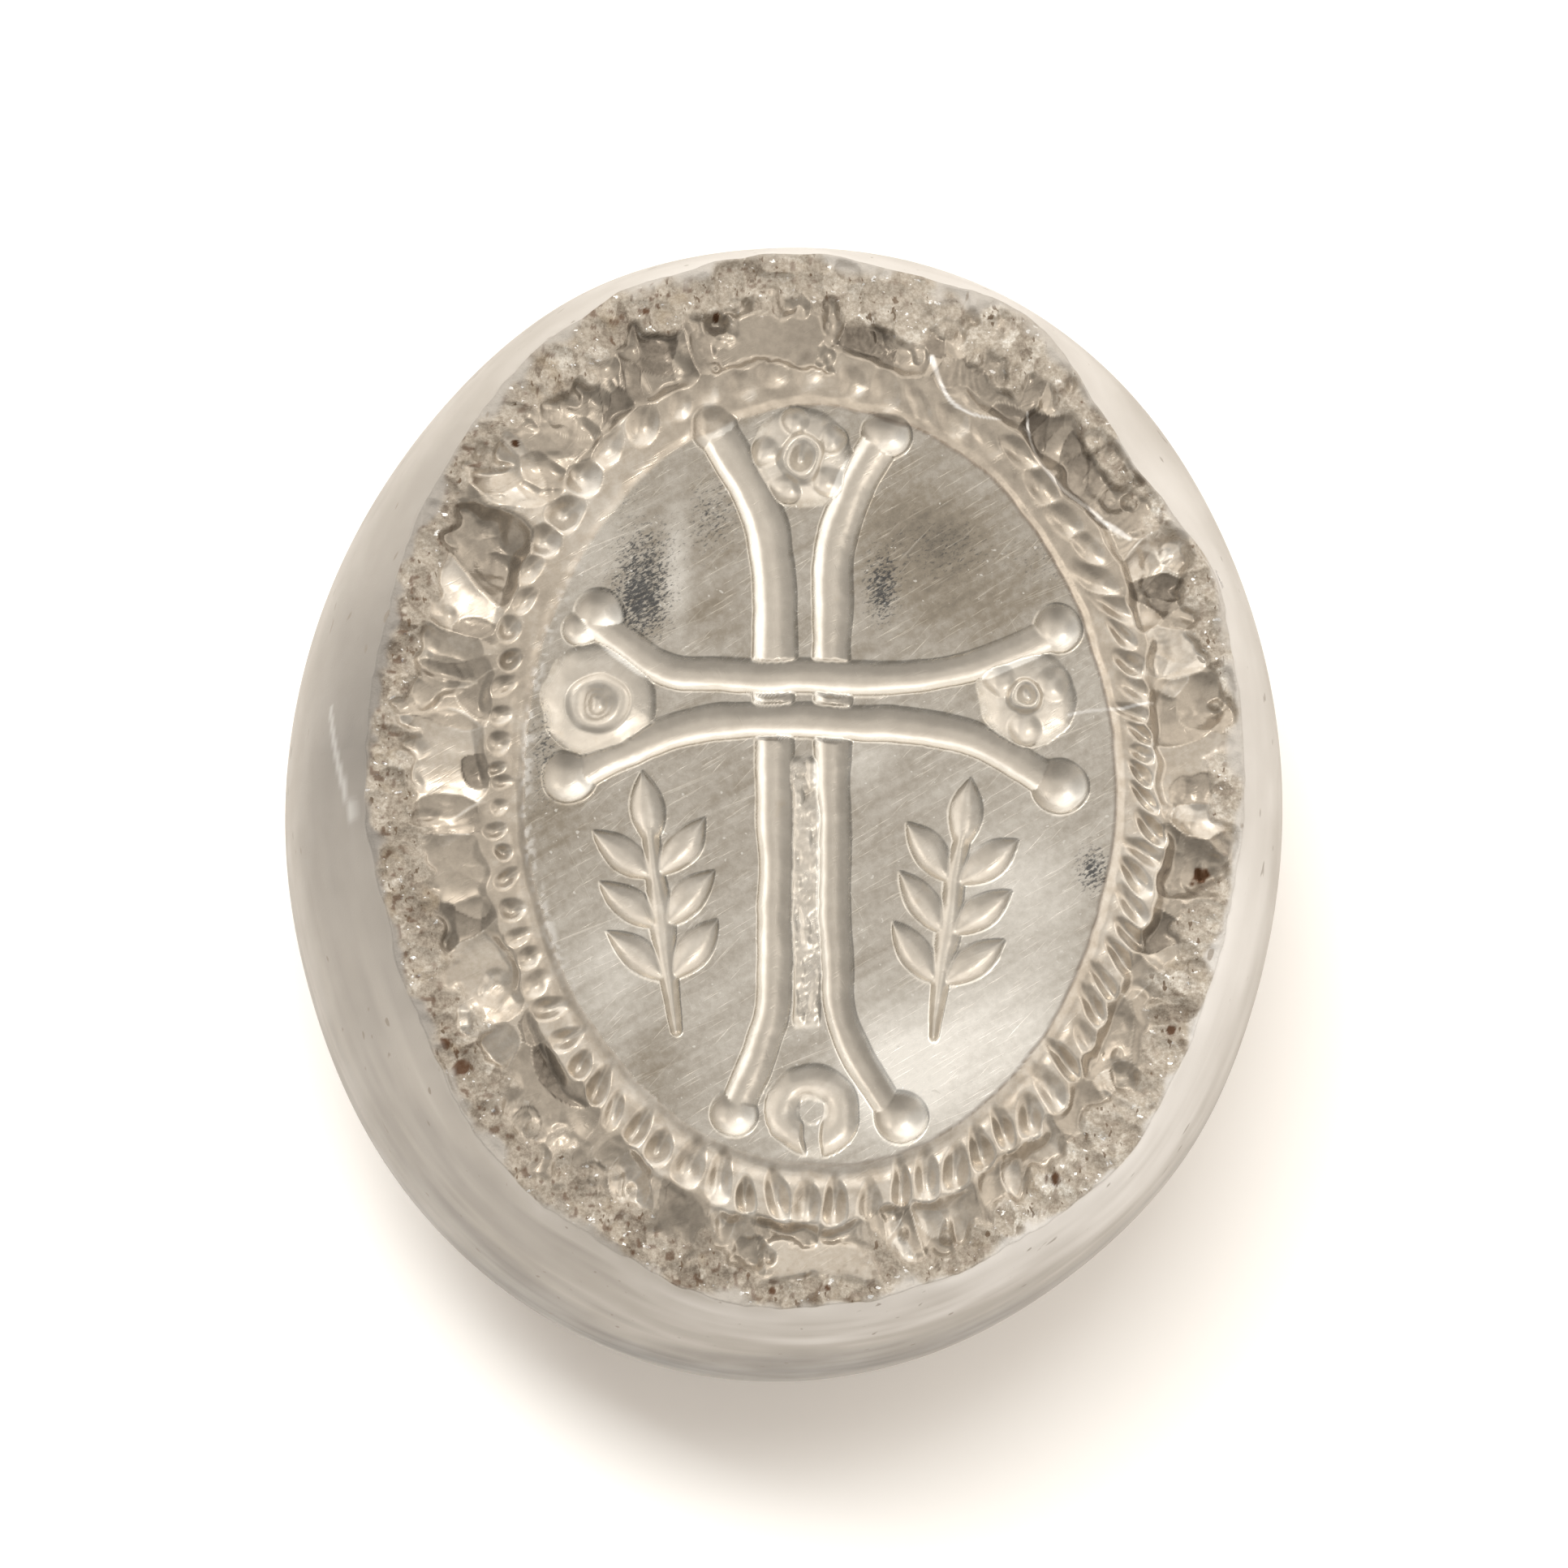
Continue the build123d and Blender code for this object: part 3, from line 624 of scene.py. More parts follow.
def face_relief(x, y, rim):
    """Depth of the face below its plane, with masks for the cut, chipped and gritty parts.

    x and y are in the engraving frame, and rim is 0 in the middle of the face and 1 at its edge.
    """
    hx, hy = hand(x, y)
    cut, painted_light = engraved_cuts(hx, hy)
    outside = oval_offset(x, y, FIELD_CENTRE, FIELD_REACH)
    outside = outside + 0.03 * noise(x, y, 1.1, 5) + 0.014 * noise(x, y, 0.3, 6)
    u, v = (x - FIELD_CENTRE[0]) / FIELD_REACH[0], (y - FIELD_CENTRE[1]) / FIELD_REACH[1]
    turn = np.degrees(np.arctan2(v, u))
    border, border_painted_light = border_relief(2 * hx - x, 2 * hy - y, outside, turn)
    edge, flakes, chip, grit = chipped_edge(x, y, rim, turn, outside)
    worn = np.interp(turn, STYLE_TURNS, NOTCH_STYLES[:, 7])
    worn = worn + 0.10 * layered(x, y, 0.7, 45) + 0.07 * noise(x, y, 0.16, 49)
    # The notches' lit walls are painted lighter and the walls across from them painted darker.
    worn = worn + (0.16 + 0.12 * left_side(turn)) * border_painted_light
    edge_tone = worn * (1 - chip) + flakes * chip

    polish = 0.0025 * noise(x, y, 3.2, 51) + 0.0012 * noise(x, y, 1.2, 52)
    depth = np.maximum(join(cut, border), edge) + polish
    on_face = smoothstep(1.0, 0.975, rim + 0.045 * layered(x, y, 0.6, 47))
    face_tone = np.where(outside > 0.03, np.clip(edge_tone, 0, 1), crystal_tone(x, y))
    side_tone = 0.80 * flank_tone_and_light(x, y, STONE_HEIGHT - RIM_DROP)
    masks = {
        "cut": smoothstep(0.02, 0.09, cut),
        "chip": smoothstep(0.0, 0.06, outside),
        "grit": grit,
        "face": on_face,
        "tone": face_tone * on_face + side_tone * (1 - on_face),
        "shade": np.clip(blobs(x, y, SHADES), 0, 1),
        "stain": stains(x, y, rim, turn, outside),
        "painted_light": 0.5 + 0.5 * painted_light,
        "pale_marks_and_glints": bright_marks(x, y, turn, outside),
    }
    return depth, masks


# Larger chips that bite into the flank: turn round the stone, half spread, extra drop
RIM_CHIPS = [
    (27, 6.0, 0.34), (64, 5.0, 0.20), (48, 3.5, 0.14), (118, 4.0, 0.10), (205, 3.0, 0.10), (248, 4.0, 0.12),
]


def rim_drop(turn):
    """How far the edge of the face lies below its plane, round the stone."""
    x, y = 2.4 * np.cos(turn), 2.4 * np.sin(turn)
    drop = RIM_DROP + 0.06 * noise(x, y, 0.9, 61) + 0.04 * noise(x, y, 0.25, 62)
    return drop + 0.03 * noise(x, y, 0.06, 63) + swell(turn, RIM_CHIPS)


# Departures of the outline and of the face's edge from true ovals: turn, half spread, amount
OUTLINE_SWELLS = [(55, 20, 0.018), (80, 10, 0.008), (120, 16, 0.016), (-32, 14, 0.013), (203, 14, -0.006)]
EDGE_SWELLS = [
    (45, 13, -0.056), (-155, 16, -0.020), (-112, 10, -0.022), (-42, 8, 0.016), (142, 16, 0.018),
    (80, 8, -0.020),
]


def swell(turn, departures):
    """Sum of soft humps round the stone."""
    total = np.zeros_like(turn)
    for place, spread, amount in departures:
        away = (np.degrees(turn) - place + 180) % 360 - 180
        total = total + amount * hump(away, 0, spread)
    return total


def flank_point(turn, height):
    """Place on the stone's side at a turn and height."""
    near_face = smoothstep(WIDEST_HEIGHT + 0.8, STONE_HEIGHT - RIM_DROP, height)
    factor = 1 + swell(turn, OUTLINE_SWELLS) + near_face * swell(turn, EDGE_SWELLS)
    at_rim = smoothstep(STONE_HEIGHT - RIM_DROP - 0.6, STONE_HEIGHT - RIM_DROP - 0.05, height)
    factor = factor + at_rim * RIM_RAGGED * layered(8 * np.cos(turn), 8 * np.sin(turn), 0.7, 64)
    x = bulge(height, STONE_WIDTH, BACK_WIDTH, RIM_WIDTH) * np.cos(turn) * factor
    y = bulge(height, STONE_LENGTH, BACK_LENGTH, RIM_LENGTH) * np.sin(turn) * factor
    return x, y


def flank_tone_and_light(x, y, z):
    """Lightness of the satin flank from 0 to 1, with painted light and shade: near the face's edge dark on
    the left and light elsewhere, lower down more even and darkest on the near side, and streaked.
    """
    turn = np.arctan2(y / STONE_LENGTH, x / STONE_WIDTH)
    near, far = np.clip(-np.sin(turn), 0, 1), np.clip(np.sin(turn), 0, 1)
    inner = 0.42 + 0.25 * np.cos(turn) + near * (0.50 - 0.28 * near) + far * (0.24 - 0.22 * np.cos(turn))
    inner = inner - 0.06 * near * np.cos(turn)
    outer = 0.45 - 0.05 * np.cos(turn) - 0.22 * near**2
    z = z * np.ones_like(x)
    low = smoothstep(STONE_HEIGHT - 0.4, WIDEST_HEIGHT, z)
    streaks = 0.05 * layered(turn * 8, z, 1.1, 91) + (0.04 + 0.16 * near) * layered(turn * 1.5, z, 0.55, 92)
    streaks = streaks + 0.08 * near * noise(turn * 1.2, z, 0.16, 93)
    return np.clip(inner * (1 - low) + outer * low + streaks, 0, 1)


# Pale scratch down the flank: way round the stone in millimetres, height, half width
FLANK_GIRTH = 8.4
FLANK_SCRATCH = [(25.68, 11.1, 0.05), (26.86, 11.62, 0.07), (27.89, 12.0, 0.05)]


def flank_scratch(x, y, z):
    """Strength of the pale scratch at a place on the flank."""
    turn = np.arctan2(y / STONE_LENGTH, x / STONE_WIDTH) % (2 * math.pi)
    away, half, _, _ = route_distance(turn * FLANK_GIRTH, z, FLANK_SCRATCH)
    return smoothstep(1.6, 0.4, away / half)


def square_to_disc(a, b):
    """Concentric map of a square grid to a disc, as radius and turn."""
    wide = np.abs(a) > np.abs(b)
    safe_a = np.where(wide, a, 1.0)
    safe_b = np.where(~wide & (b != 0), b, 1.0)
    radius = np.where(wide, a, b)
    turn = np.where(wide, math.pi / 4 * b / safe_a, math.pi / 2 - math.pi / 4 * a / safe_b)
    turn = np.where(radius < 0, turn + math.pi, turn)
    return np.abs(radius), turn


def stone_mesh():
    """Closed mesh of the stone: a fine grid over the face, then rings down the flank to the back flat."""
    n = FACE_CELLS
    steps = np.linspace(-1, 1, n + 1)
    a, b = np.meshgrid(steps, steps)
    radius, turn = square_to_disc(a.ravel(), b.ravel())
    height = STONE_HEIGHT - rim_drop(turn)
    ex, ey = flank_point(turn, height)
    x, y = ex * radius, ey * radius
    gx, gy = to_engraving(x, y)
    depth, masks = face_relief(gx, gy, radius)
    at_edge = smoothstep(0.985, 1.0, radius)
    z = (STONE_HEIGHT - depth) * (1 - at_edge) + height * at_edge
    coords = [np.stack([x, y, z], 1)]
    grid = np.arange((n + 1) ** 2).reshape(n + 1, n + 1)
    faces = [
        np.stack([grid[:-1, :-1], grid[:-1, 1:], grid[1:, 1:], grid[1:, :-1]], -1).reshape(-1, 4).tolist()
    ]
    rim = np.concatenate([grid[0, :-1], grid[:-1, -1], grid[-1, :0:-1], grid[:0:-1, 0]])
    rim_turn, rim_height = turn[rim], height[rim]
    count = (n + 1) ** 2

    def add_ring(ring_turn, ring_height):
        """Adds a ring of points and gives their numbers."""
        nonlocal count
        px, py = flank_point(ring_turn, ring_height)
        coords.append(np.stack([px, py, ring_height], 1))
        ids = np.arange(count, count + len(ring_turn))
        count += len(ring_turn)
        return ids

    def bridge(upper, lower):
        """Adds a band of faces between two rings."""
        faces.append(
            np.stack([upper, lower, np.roll(lower, -1), np.roll(upper, -1)], 1).tolist()
        )

    upper = rim
    for k in range(1, RIM_RINGS + 1):
        ring = add_ring(rim_turn, rim_height - RIM_RING_STEP * k)
        bridge(upper, ring)
        upper = ring
    top = rim_height - RIM_RING_STEP * RIM_RINGS
    coarse_turn, coarse_top = rim_turn[::FLANK_STEP], top[::FLANK_STEP]
    spread = (1 - np.cos(np.linspace(0, math.pi, FLANK_RINGS + 1))) / 2
    spread = 0.5 * spread + 0.5 * np.linspace(0, 1, FLANK_RINGS + 1) ** 0.8
    smooth_top = float(np.mean(coarse_top)) - SMOOTH_BELOW_RIM
    first = add_ring(coarse_turn, np.full_like(coarse_turn, smooth_top))
    fans = []
    total = len(upper)
    for j in range(len(first)):
        fine = [int(upper[(FLANK_STEP * j + i) % total]) for i in range(FLANK_STEP + 1)]
        fans.append(fine[::-1] + [int(first[j]), int(first[(j + 1) % len(first)])])
    faces.append(fans)
    upper = first
    for s in spread[1:]:
        ring = add_ring(coarse_turn, np.full_like(coarse_turn, smooth_top * (1 - s)))
        bridge(upper, ring)
        upper = ring
    faces.append([upper[::-1].tolist()])
    points = np.concatenate(coords)
    full = {}
    for name, values in masks.items():
        full[name] = np.concatenate([values, np.zeros(len(points) - len(values))])
    flank = points[len(x):]
    full["tone"][len(x):] = flank_tone_and_light(flank[:, 0], flank[:, 1], flank[:, 2])
    full["pale_marks_and_glints"][len(x):] = flank_scratch(flank[:, 0], flank[:, 1], flank[:, 2])
    return points, [f for part in faces for f in part], full


def new_object(name, points, faces):
    """Object with a mesh of millimetre points."""
    mesh = bpy.data.meshes.new(name)
    mesh.from_pydata((np.asarray(points) * MM).tolist(), [], faces)
    mesh.validate()
    mesh.update()
    piece = bpy.data.objects.new(name, mesh)
    bpy.context.scene.collection.objects.link(piece)
    return piece


def y_cylinder(name, radius, y0, y1, sides=128):
    """Cylinder along the pin axis, with its faces turned inwards."""
    turns = np.linspace(0, 2 * math.pi, sides, endpoint=False)
    ring = [(radius * math.cos(t), PIN_HEIGHT + radius * math.sin(t)) for t in turns]
    points = [(x, y0, z) for x, z in ring] + [(x, y1, z) for x, z in ring]
    faces = [[k, (k + 1) % sides, sides + (k + 1) % sides, sides + k] for k in range(sides)]
    faces += [list(range(sides))[::-1], list(range(sides, 2 * sides))]
    return new_object(name, points, faces)


def cut_away(piece, cutter):
    """Applies a boolean difference with the cutter and deletes the cutter."""
    modifier = piece.modifiers.new("cut", "BOOLEAN")
    modifier.operation = "DIFFERENCE"
    modifier.solver = "MANIFOLD"
    modifier.object = cutter
    bpy.context.view_layer.objects.active = piece
    bpy.ops.object.modifier_apply(modifier=modifier.name)
    bpy.data.objects.remove(cutter)


# Lightness of the bore and its seats, and slack when asking whether a point lies on them
SEAT_TONE = 0.46
TOUCH = 0.001


def tone_seats(piece):
    """Gives the points in and on the bore and its seats a tone like the flank's."""
    mesh = piece.data
    places = np.empty(3 * len(mesh.vertices))
    mesh.vertices.foreach_get("co", places)
    x, y, z = places.reshape(-1, 3).T / MM
    from_pin = np.hypot(x, z - PIN_HEIGHT)
    on_seat = (np.abs(y) > SEAT_Y - TOUCH) & (from_pin < SEAT_DIAMETER / 2 + TOUCH)
    in_bore = from_pin < BORE_DIAMETER / 2 + TOUCH
    tones = mesh.attributes["tone"].data
    values = np.empty(len(x))
    tones.foreach_get("value", values)
    tones.foreach_set("value", np.where(on_seat | in_bore, SEAT_TONE, values).astype(np.float32))


points, faces, masks = stone_mesh()
stone = new_object("crystal_seal", points, faces)
for name, values in masks.items():
    attribute = stone.data.attributes.new(name, "FLOAT", "POINT")
    attribute.data.foreach_set("value", values.astype(np.float32))
# Known fault: the cutters' faces point inwards, so the stone stays uncut and gains overlapping shells here.
cut_away(stone, y_cylinder("bore", BORE_DIAMETER / 2, -STONE_LENGTH, STONE_LENGTH))
cut_away(stone, y_cylinder("seat_up", SEAT_DIAMETER / 2, SEAT_Y, STONE_LENGTH))
cut_away(stone, y_cylinder("seat_down", SEAT_DIAMETER / 2, -STONE_LENGTH, -SEAT_Y))
stone.data.polygons.foreach_set("use_smooth", np.ones(len(stone.data.polygons), bool))
tone_seats(stone)


class Nodes:
    """Short helpers for one material's node tree."""

    def __init__(self, name):
        self.material = bpy.data.materials.new(name)
        self.material.use_nodes = True
        self.tree = self.material.node_tree
        self.shader = self.tree.nodes["Principled BSDF"]
        self.where = self.tree.nodes.new("ShaderNodeTexCoord").outputs["Object"]

    def link(self, source, target):
        self.tree.links.new(source, target)

    def node(self, kind, **settings):
        n = self.tree.nodes.new(kind)
        for key, value in settings.items():
            setattr(n, key, value)
        return n

    def attribute(self, name):
        return self.node("ShaderNodeAttribute", attribute_name=name).outputs["Fac"]

    def noise(self, scale, detail=3.0, roughness=0.55, where=None):
        n = self.node("ShaderNodeTexNoise")
        n.inputs["Scale"].default_value = scale
        n.inputs["Detail"].default_value = detail
        n.inputs["Roughness"].default_value = roughness
        self.link(where or self.where, n.inputs["Vector"])
        return n.outputs["Fac"]

    def stretched(self, degrees, stretch):
        """Places turned to a heading and drawn out along it."""
        turned = self.node("ShaderNodeMapping")
        turned.inputs["Rotation"].default_value = (0, 0, -math.radians(degrees))
        self.link(self.where, turned.inputs["Vector"])
        squeezed = self.node("ShaderNodeMapping")
        squeezed.inputs["Scale"].default_value = (1 / stretch, 1, 1)
        self.link(turned.outputs["Vector"], squeezed.inputs["Vector"])
        return squeezed.outputs["Vector"]

    def ramp(self, source, low, high, start=0.0, end=1.0):
        n = self.node("ShaderNodeMapRange", interpolation_type="SMOOTHSTEP")
        n.inputs["From Min"].default_value = low
        n.inputs["From Max"].default_value = high
        n.inputs["To Min"].default_value = start
        n.inputs["To Max"].default_value = end
        self.link(source, n.inputs["Value"])
        return n.outputs["Result"]

    def math(self, operation, a, b):
        n = self.node("ShaderNodeMath", operation=operation)
        for k, v in enumerate((a, b)):
            if isinstance(v, (int, float)):
                n.inputs[k].default_value = v
            else:
                self.link(v, n.inputs[k])
        return n.outputs[0]

    def colours(self, source, stops):
        """Colour ramp through the given positions and colours."""
        n = self.node("ShaderNodeValToRGB")
        ramp = n.color_ramp
        while len(ramp.elements) < len(stops):
            ramp.elements.new(0.5)
        for element, (place, colour) in zip(ramp.elements, stops):
            element.position = place
            element.color = (*colour, 1.0)
        self.link(source, n.inputs["Fac"])
        return n.outputs["Color"]

    def mix(self, factor, a, b):
        """Blend of two numbers or two colours by a mask."""
        colour = isinstance(a, tuple) or isinstance(b, tuple) or getattr(a, "type", "") == "RGBA"
        n = self.node("ShaderNodeMix", data_type="RGBA" if colour else "FLOAT")
        first = 6 if colour else 2
        self.link(factor, n.inputs[0])
        for k, v in enumerate((a, b)):
            socket = n.inputs[first + k]
            if isinstance(v, tuple):
                socket.default_value = (*v, 1.0)
            elif isinstance(v, (int, float)):
                socket.default_value = v
            else:
                self.link(v, socket)
        return n.outputs[2 if colour else 0]

    def bump(self, height, distance, strength=1.0, normal=None):
        n = self.node("ShaderNodeBump")
        n.inputs["Strength"].default_value = strength
        n.inputs["Distance"].default_value = distance
        self.link(height, n.inputs["Height"])
        if normal is not None:
            self.link(normal, n.inputs["Normal"])
        return n.outputs["Normal"]


# Polishing scratches: heading, fineness, stretch, and the noise levels where they start and are full
SCRATCHES = [
    (35, 20000, 16, 0.57, 0.74), (27, 13000, 45, 0.63, 0.78), (52, 18000, 22, 0.62, 0.78),
    (-62, 12000, 60, 0.67, 0.81),
]


def polish_scratches(m):
    """Mask of the fine scratches left by polishing."""
    scratches = None
    for heading, fineness, stretch, start, full in SCRATCHES:
        one = m.ramp(m.noise(fineness, 2, 0.6, m.stretched(heading, stretch)), start, full)
        scratches = one if scratches is None else m.math("MAXIMUM", scratches, one)
    return scratches


def field_colour(m, grain, scratches):
    """Polished ground of the face, with painted dark reflections in patches, scratches and dust."""
    field = m.colours(grain, [
        (0.0, (0.05, 0.048, 0.046)), (0.38, (0.35, 0.305, 0.245)), (0.5, (0.47, 0.43, 0.37)),
        (1.0, (1.0, 0.965, 0.90)),
    ])
    salt = m.ramp(m.noise(20000, 3, 0.75, m.stretched(35, 2.2)), 0.30, 0.70, -0.45, 0.45)
    shaded = m.ramp(m.math("ADD", m.attribute("shade"), salt), 0.38, 0.95, 0.0, 0.86)
    field = m.mix(shaded, field, (0.05, 0.055, 0.062))
    field = m.mix(m.math("MULTIPLY", scratches, 0.22), field, (0.80, 0.755, 0.68))
    dust = m.ramp(m.noise(9000, 1, 0.5), 0.74, 0.78, 0.0, 0.7)
    return m.mix(dust, field, (0.80, 0.77, 0.71))


def carved_colour(m):
    """Walls and floors of the cut grooves, with painted light where they face the light and painted shade
    across from it, and with tan patches.
    """
    lit = m.math("ADD", m.attribute("painted_light"), m.ramp(m.noise(2500, 4, 0.65), 0.30, 0.70, -0.08, 0.08))
    carved = m.colours(lit, [
        (0.0, (0.36, 0.32, 0.27)), (0.5, (0.55, 0.498, 0.427)), (1.0, (0.95, 0.90, 0.82)),
    ])
    return m.mix(m.ramp(m.noise(1300, 3), 0.66, 0.76, 0.0, 0.4), carved, (0.46, 0.38, 0.28))


def glassy_colour(m, grain):
    """Smooth chips of the edge and the worn border."""
    return m.colours(grain, [
        (0.0, (0.11, 0.09, 0.07)), (0.5, (0.45, 0.388, 0.315)), (1.0, (0.86, 0.815, 0.74)),
    ])


def sand_colour(m, tone, sparkle):
    """Crushed rim, with brown grains and bright glints."""
    speckle = m.ramp(m.noise(14000, 3, 0.7), 0.30, 0.70, -0.16, 0.16)
    sand = m.colours(m.math("ADD", tone, speckle), [
        (0.0, (0.14, 0.107, 0.078)), (0.3, (0.265, 0.221, 0.171)), (0.55, (0.375, 0.323, 0.262)),
        (0.8, (0.54, 0.49, 0.42)), (1.0, (0.92, 0.89, 0.84)),
    ])
    sand = m.mix(m.ramp(m.noise(1600, 4), 0.56, 0.74, 0.0, 0.4), sand, (0.31, 0.235, 0.15))
    grains = m.ramp(m.noise(7000, 2, 0.6, m.stretched(100, 1.6)), 0.64, 0.69, 0.0, 0.85)
    sand = m.mix(grains, sand, (0.11, 0.07, 0.04))
    return m.mix(sparkle, sand, (0.92, 0.90, 0.87))


def satin_colour(m, tone):
    """Rubbed flank, with small dark flaws and a pale scratch."""
    satin = m.colours(tone, [
        (0.0, (0.105, 0.093, 0.080)), (0.5, (0.375, 0.336, 0.292)), (1.0, (0.80, 0.765, 0.73)),
    ])
    flaw = m.ramp(m.noise(4200, 1, 0.5, m.stretched(70, 2.5)), 0.72, 0.78, 0.0, 0.7)
    satin = m.mix(flaw, satin, (0.20, 0.16, 0.12))
    return m.mix(m.math("MULTIPLY", m.attribute("pale_marks_and_glints"), 0.28), satin, (0.80, 0.78, 0.75))


def crystal_material():
    """Rock crystal, blended from its finishes by the masks on the mesh."""
    m = Nodes("rock_crystal")
    face, cut, chip, grit, tone, stain = (
        m.attribute(n) for n in ("face", "cut", "chip", "grit", "tone", "stain")
    )
    scratches = polish_scratches(m)
    mottle = m.ramp(m.noise(7000, 4, 0.7), 0.30, 0.70, -0.05, 0.05)
    grain = m.math("ADD", tone, mottle)
    sparkle = m.ramp(m.noise(8000, 2, 0.6, m.stretched(0, 1.3)), 0.67, 0.70)

    top = m.mix(cut, field_colour(m, grain, scratches), carved_colour(m))
    top = m.mix(chip, top, glassy_colour(m, grain))
    # Pale colour for the painted glint lines and the splinters of the frayed edge
    top = m.mix(m.attribute("pale_marks_and_glints"), top, (0.93, 0.90, 0.86))
    top = m.mix(grit, top, sand_colour(m, tone, sparkle))
    top = m.mix(stain, top, (0.085, 0.04, 0.018))
    m.link(m.mix(face, satin_colour(m, tone), top), m.shader.inputs["Base Color"])
    metal = m.mix(grit, m.mix(chip, m.mix(cut, 0.95, 0.68), 0.70), m.mix(sparkle, 0.20, 0.9))
    m.link(m.mix(face, 0.08, metal), m.shader.inputs["Metallic"])
    gloss = m.mix(scratches, 0.20, 0.36)
    gloss = m.mix(cut, gloss, 0.24)
    gloss = m.mix(chip, gloss, 0.18)
    gloss = m.mix(grit, gloss, m.mix(sparkle, 0.40, 0.12))
    rubbed = m.ramp(m.noise(800, 3), 0.3, 0.7, 0.42, 0.55)
    m.link(m.mix(face, rubbed, gloss), m.shader.inputs["Roughness"])
    rough = m.math("MULTIPLY", m.noise(12000, 3, 0.7), grit)
    normal = m.bump(scratches, 0.000003, 0.5)
    m.link(m.bump(rough, 0.00004, 0.6, normal), m.shader.inputs["Normal"])
    return m.material


def silver_material():
    """Worn silver with dull tarnish in patches."""
    m = Nodes("worn_silver")
    tarnish = m.ramp(m.noise(420, 4), 0.40, 0.68)
    m.link(m.mix(tarnish, (0.83, 0.80, 0.75), (0.46, 0.43, 0.39)), m.shader.inputs["Base Color"])
    m.shader.inputs["Metallic"].default_value = 1.0
    m.link(m.ramp(m.noise(900, 3), 0.3, 0.7, 0.22, 0.42), m.shader.inputs["Roughness"])
    m.link(m.bump(m.noise(2600, 3), 0.00002, 0.5), m.shader.inputs["Normal"])
    return m.material


def floor_material():
    """Plain pale paper with a faint warm glow, painted light that lightens and warms the shadow on it."""
    m = Nodes("paper_floor")
    paper = m.mix(m.noise(30, 2), (0.90, 0.865, 0.825), (0.92, 0.885, 0.845))
    m.link(paper, m.shader.inputs["Base Color"])
    m.shader.inputs["Roughness"].default_value = 0.9
    m.shader.inputs["Specular IOR Level"].default_value = 0.1
    # Faint warm glow: painted light that lightens and warms the shadow
    m.shader.inputs["Emission Color"].default_value = (1.0, 0.88, 0.76, 1.0)
    m.shader.inputs["Emission Strength"].default_value = 0.10
    return m.material


stone.data.materials.clear()
stone.data.materials.append(crystal_material())
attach(stone, "stone")
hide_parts("seal_stone")

silver = silver_material()
for name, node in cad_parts.items():
    if name != "seal_stone":
        node.data.materials.clear()
        node.data.materials.append(silver)

# Floor, light and camera
FLOOR_REACH = 400
corners = [(x * FLOOR_REACH, y * FLOOR_REACH, 0) for x, y in ((-1, -1), (1, -1), (1, 1), (-1, 1))]
floor = new_object("floor", corners, [[0, 1, 2, 3]])
floor.data.materials.append(floor_material())


def area_light(name, place, aim, size, power, colour):
    """Soft rectangular light turned to its aim."""
    data = bpy.data.lights.new(name, "AREA")
    data.shape = "RECTANGLE"
    data.size, data.size_y = size
    data.energy = power
    data.color = colour
    lamp = bpy.data.objects.new(name, data)
    lamp.location = place
    lamp.rotation_euler = (Vector(aim) - Vector(place)).to_track_quat("-Z", "Y").to_euler()
    bpy.context.scene.collection.objects.link(lamp)
    return lamp


world = bpy.data.worlds.new("studio")
bpy.context.scene.world = world
world.use_nodes = True
tree = world.node_tree
where = tree.nodes.new("ShaderNodeTexCoord").outputs["Generated"]


def add_lobe(level, direction, spread, strength):
    """Adds a soft bright or dark region round a direction of the studio to the level so far."""
    aim = tree.nodes.new("ShaderNodeVectorMath")
    aim.operation = "DOT_PRODUCT"
    tree.links.new(where, aim.inputs[0])
    aim.inputs[1].default_value = Vector(direction).normalized()
    lobe = tree.nodes.new("ShaderNodeMapRange")
    lobe.interpolation_type = "SMOOTHSTEP"
    lobe.inputs["From Min"].default_value = math.cos(math.radians(spread))
    lobe.inputs["To Max"].default_value = strength
    tree.links.new(aim.outputs["Value"], lobe.inputs["Value"])
    total = tree.nodes.new("ShaderNodeMath")
    tree.links.new(lobe.outputs["Result"], total.inputs[0])
    if isinstance(level, float):
        total.inputs[1].default_value = level
    else:
        tree.links.new(level, total.inputs[1])
    return total.outputs[0]


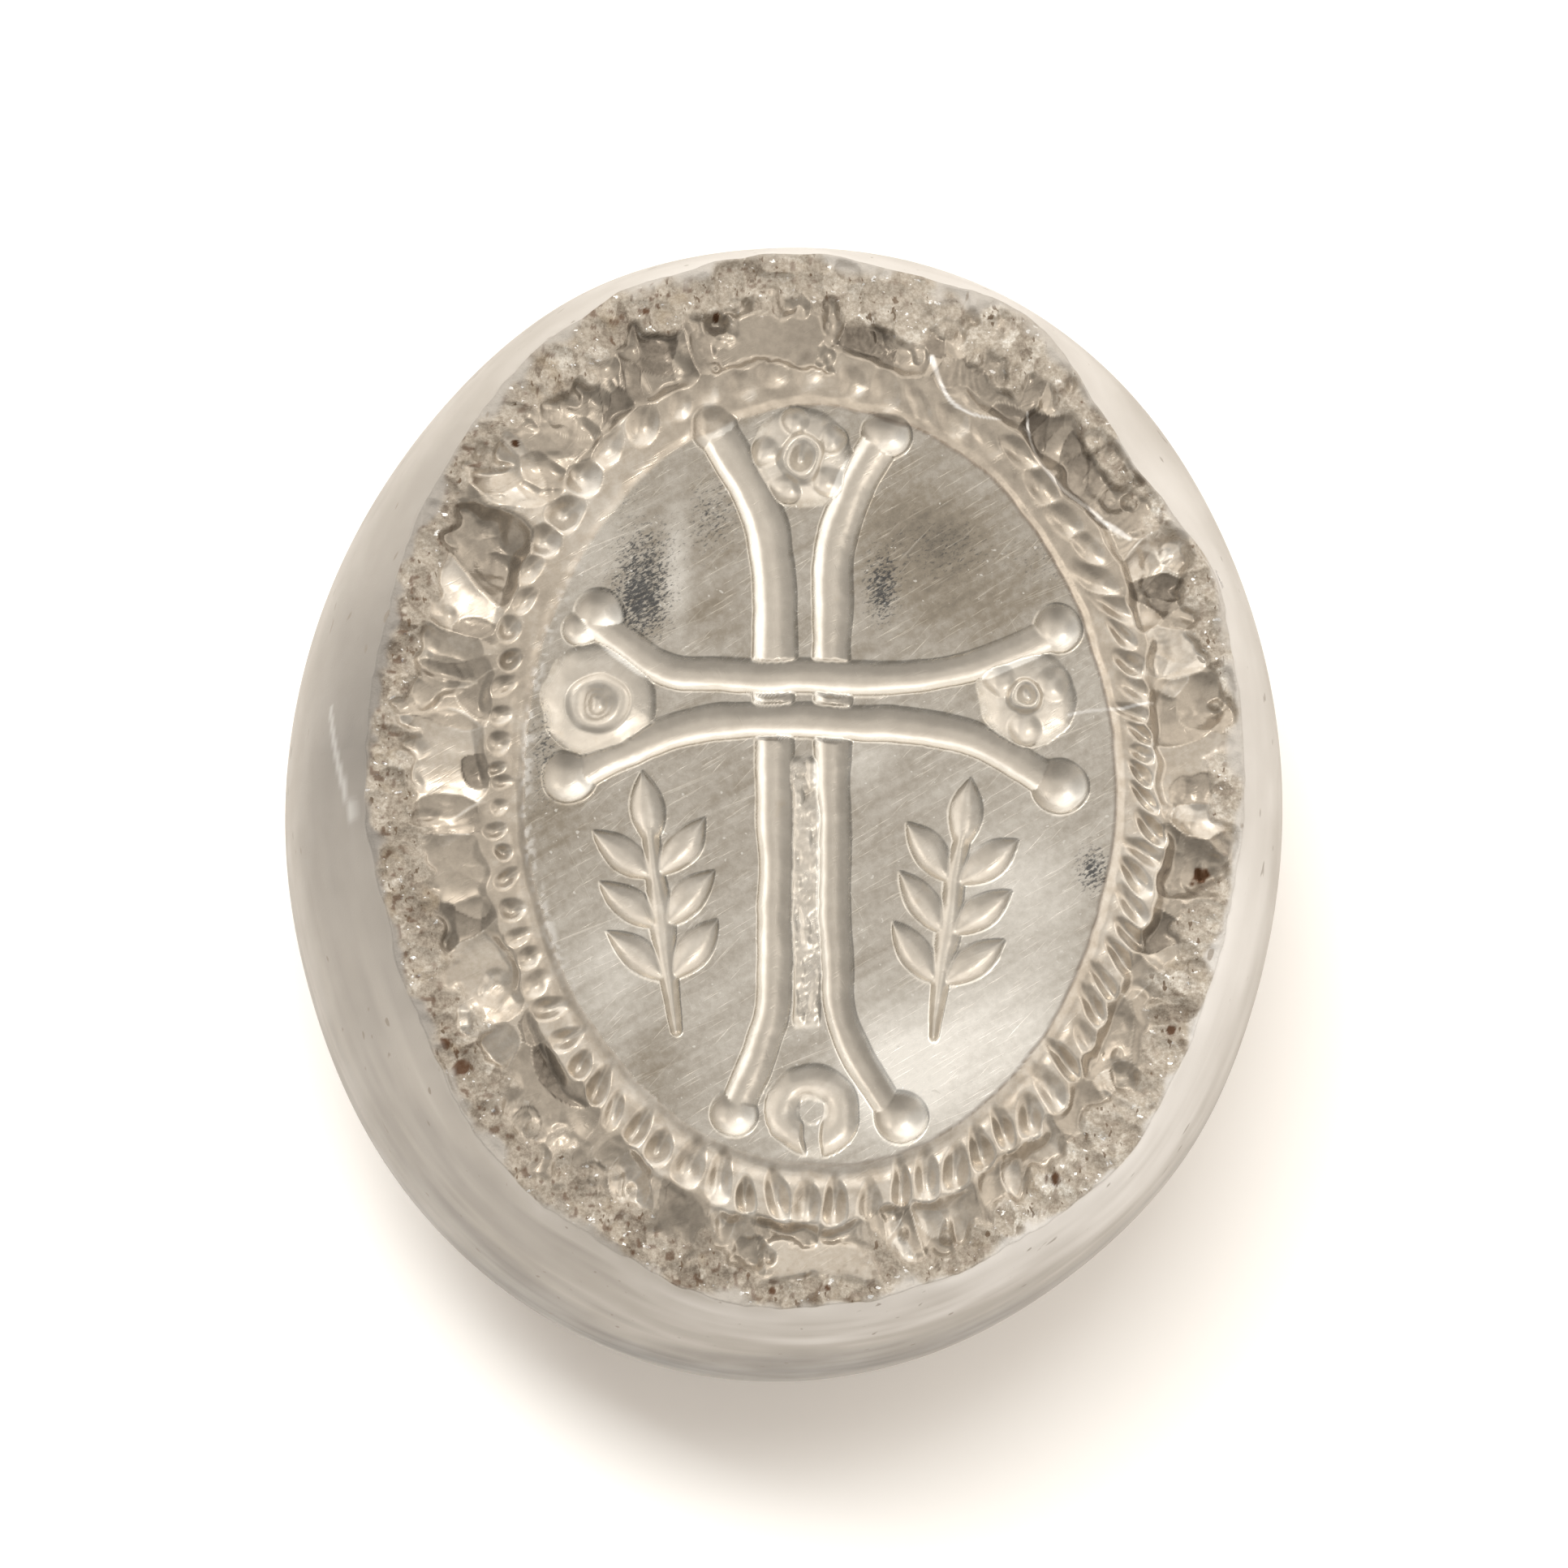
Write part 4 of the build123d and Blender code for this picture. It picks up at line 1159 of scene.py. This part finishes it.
# Studio: level everywhere, then direction, half spread and strength of each bright or dark region
STUDIO_LEVEL = 0.82
STUDIO_LOBES = [
    ((-0.15, 0.80, 0.58), 45, 0.70),
    ((0.85, 0.15, 0.50), 40, 0.60),
    ((0.05, -0.85, 0.50), 50, -0.50),
    ((-0.88, -0.10, 0.45), 45, -0.48),
    ((-0.40, 0.50, 0.77), 16, 1.2),
    ((0.62, 0.55, 0.56), 14, 1.0),
]
level = STUDIO_LEVEL
for direction, spread, strength in STUDIO_LOBES:
    level = add_lobe(level, direction, spread, strength)
background = tree.nodes["Background"]
background.inputs["Color"].default_value = (1.0, 0.96, 0.905, 1.0)
tree.links.new(level, background.inputs["Strength"])

CENTRE = (0.0, 0.0, 0.008)
key = area_light(
    "key", place=(-0.11, 0.052, 0.50), aim=CENTRE, size=(0.11, 0.27), power=2.2, colour=(0.95, 0.985, 1.0)
)
key.visible_glossy = False
area_light(
    "sparkle", place=(-0.16, 0.30, 0.44), aim=CENTRE, size=(0.05, 0.05), power=0.08, colour=(1.0, 0.99, 0.97)
)

# Camera almost above the face, upright with the engraving
VIEW_TILT = (-0.095, -0.174, 0.980)
FRAME_WIDTH = 27.66 * MM
CAMERA_DISTANCE = 0.45
AIM_ABOVE_MIDDLE = 0.57 * MM
SENSOR = 36.0
c, s = math.cos(ENGRAVING_TURN), math.sin(ENGRAVING_TURN)
tilt_x, tilt_y, tilt_z = VIEW_TILT
back = Vector((c * tilt_x - s * tilt_y, s * tilt_x + c * tilt_y, tilt_z)).normalized()
upright = Vector((-s, c, 0.0))
right = upright.cross(back).normalized()
up = back.cross(right)
aim = Vector((0, 0, WIDEST_HEIGHT * MM)) + up * AIM_ABOVE_MIDDLE
camera_data = bpy.data.cameras.new("camera")
camera_data.sensor_width = SENSOR
camera_data.lens = SENSOR * CAMERA_DISTANCE / FRAME_WIDTH
camera_data.clip_start = 0.01
camera = bpy.data.objects.new("camera", camera_data)
facing = Matrix((right, up, back)).transposed().to_4x4()
camera.matrix_world = Matrix.Translation(aim + back * CAMERA_DISTANCE) @ facing
bpy.context.scene.collection.objects.link(camera)
bpy.context.scene.camera = camera
bpy.context.scene.view_settings.view_transform = "Standard"
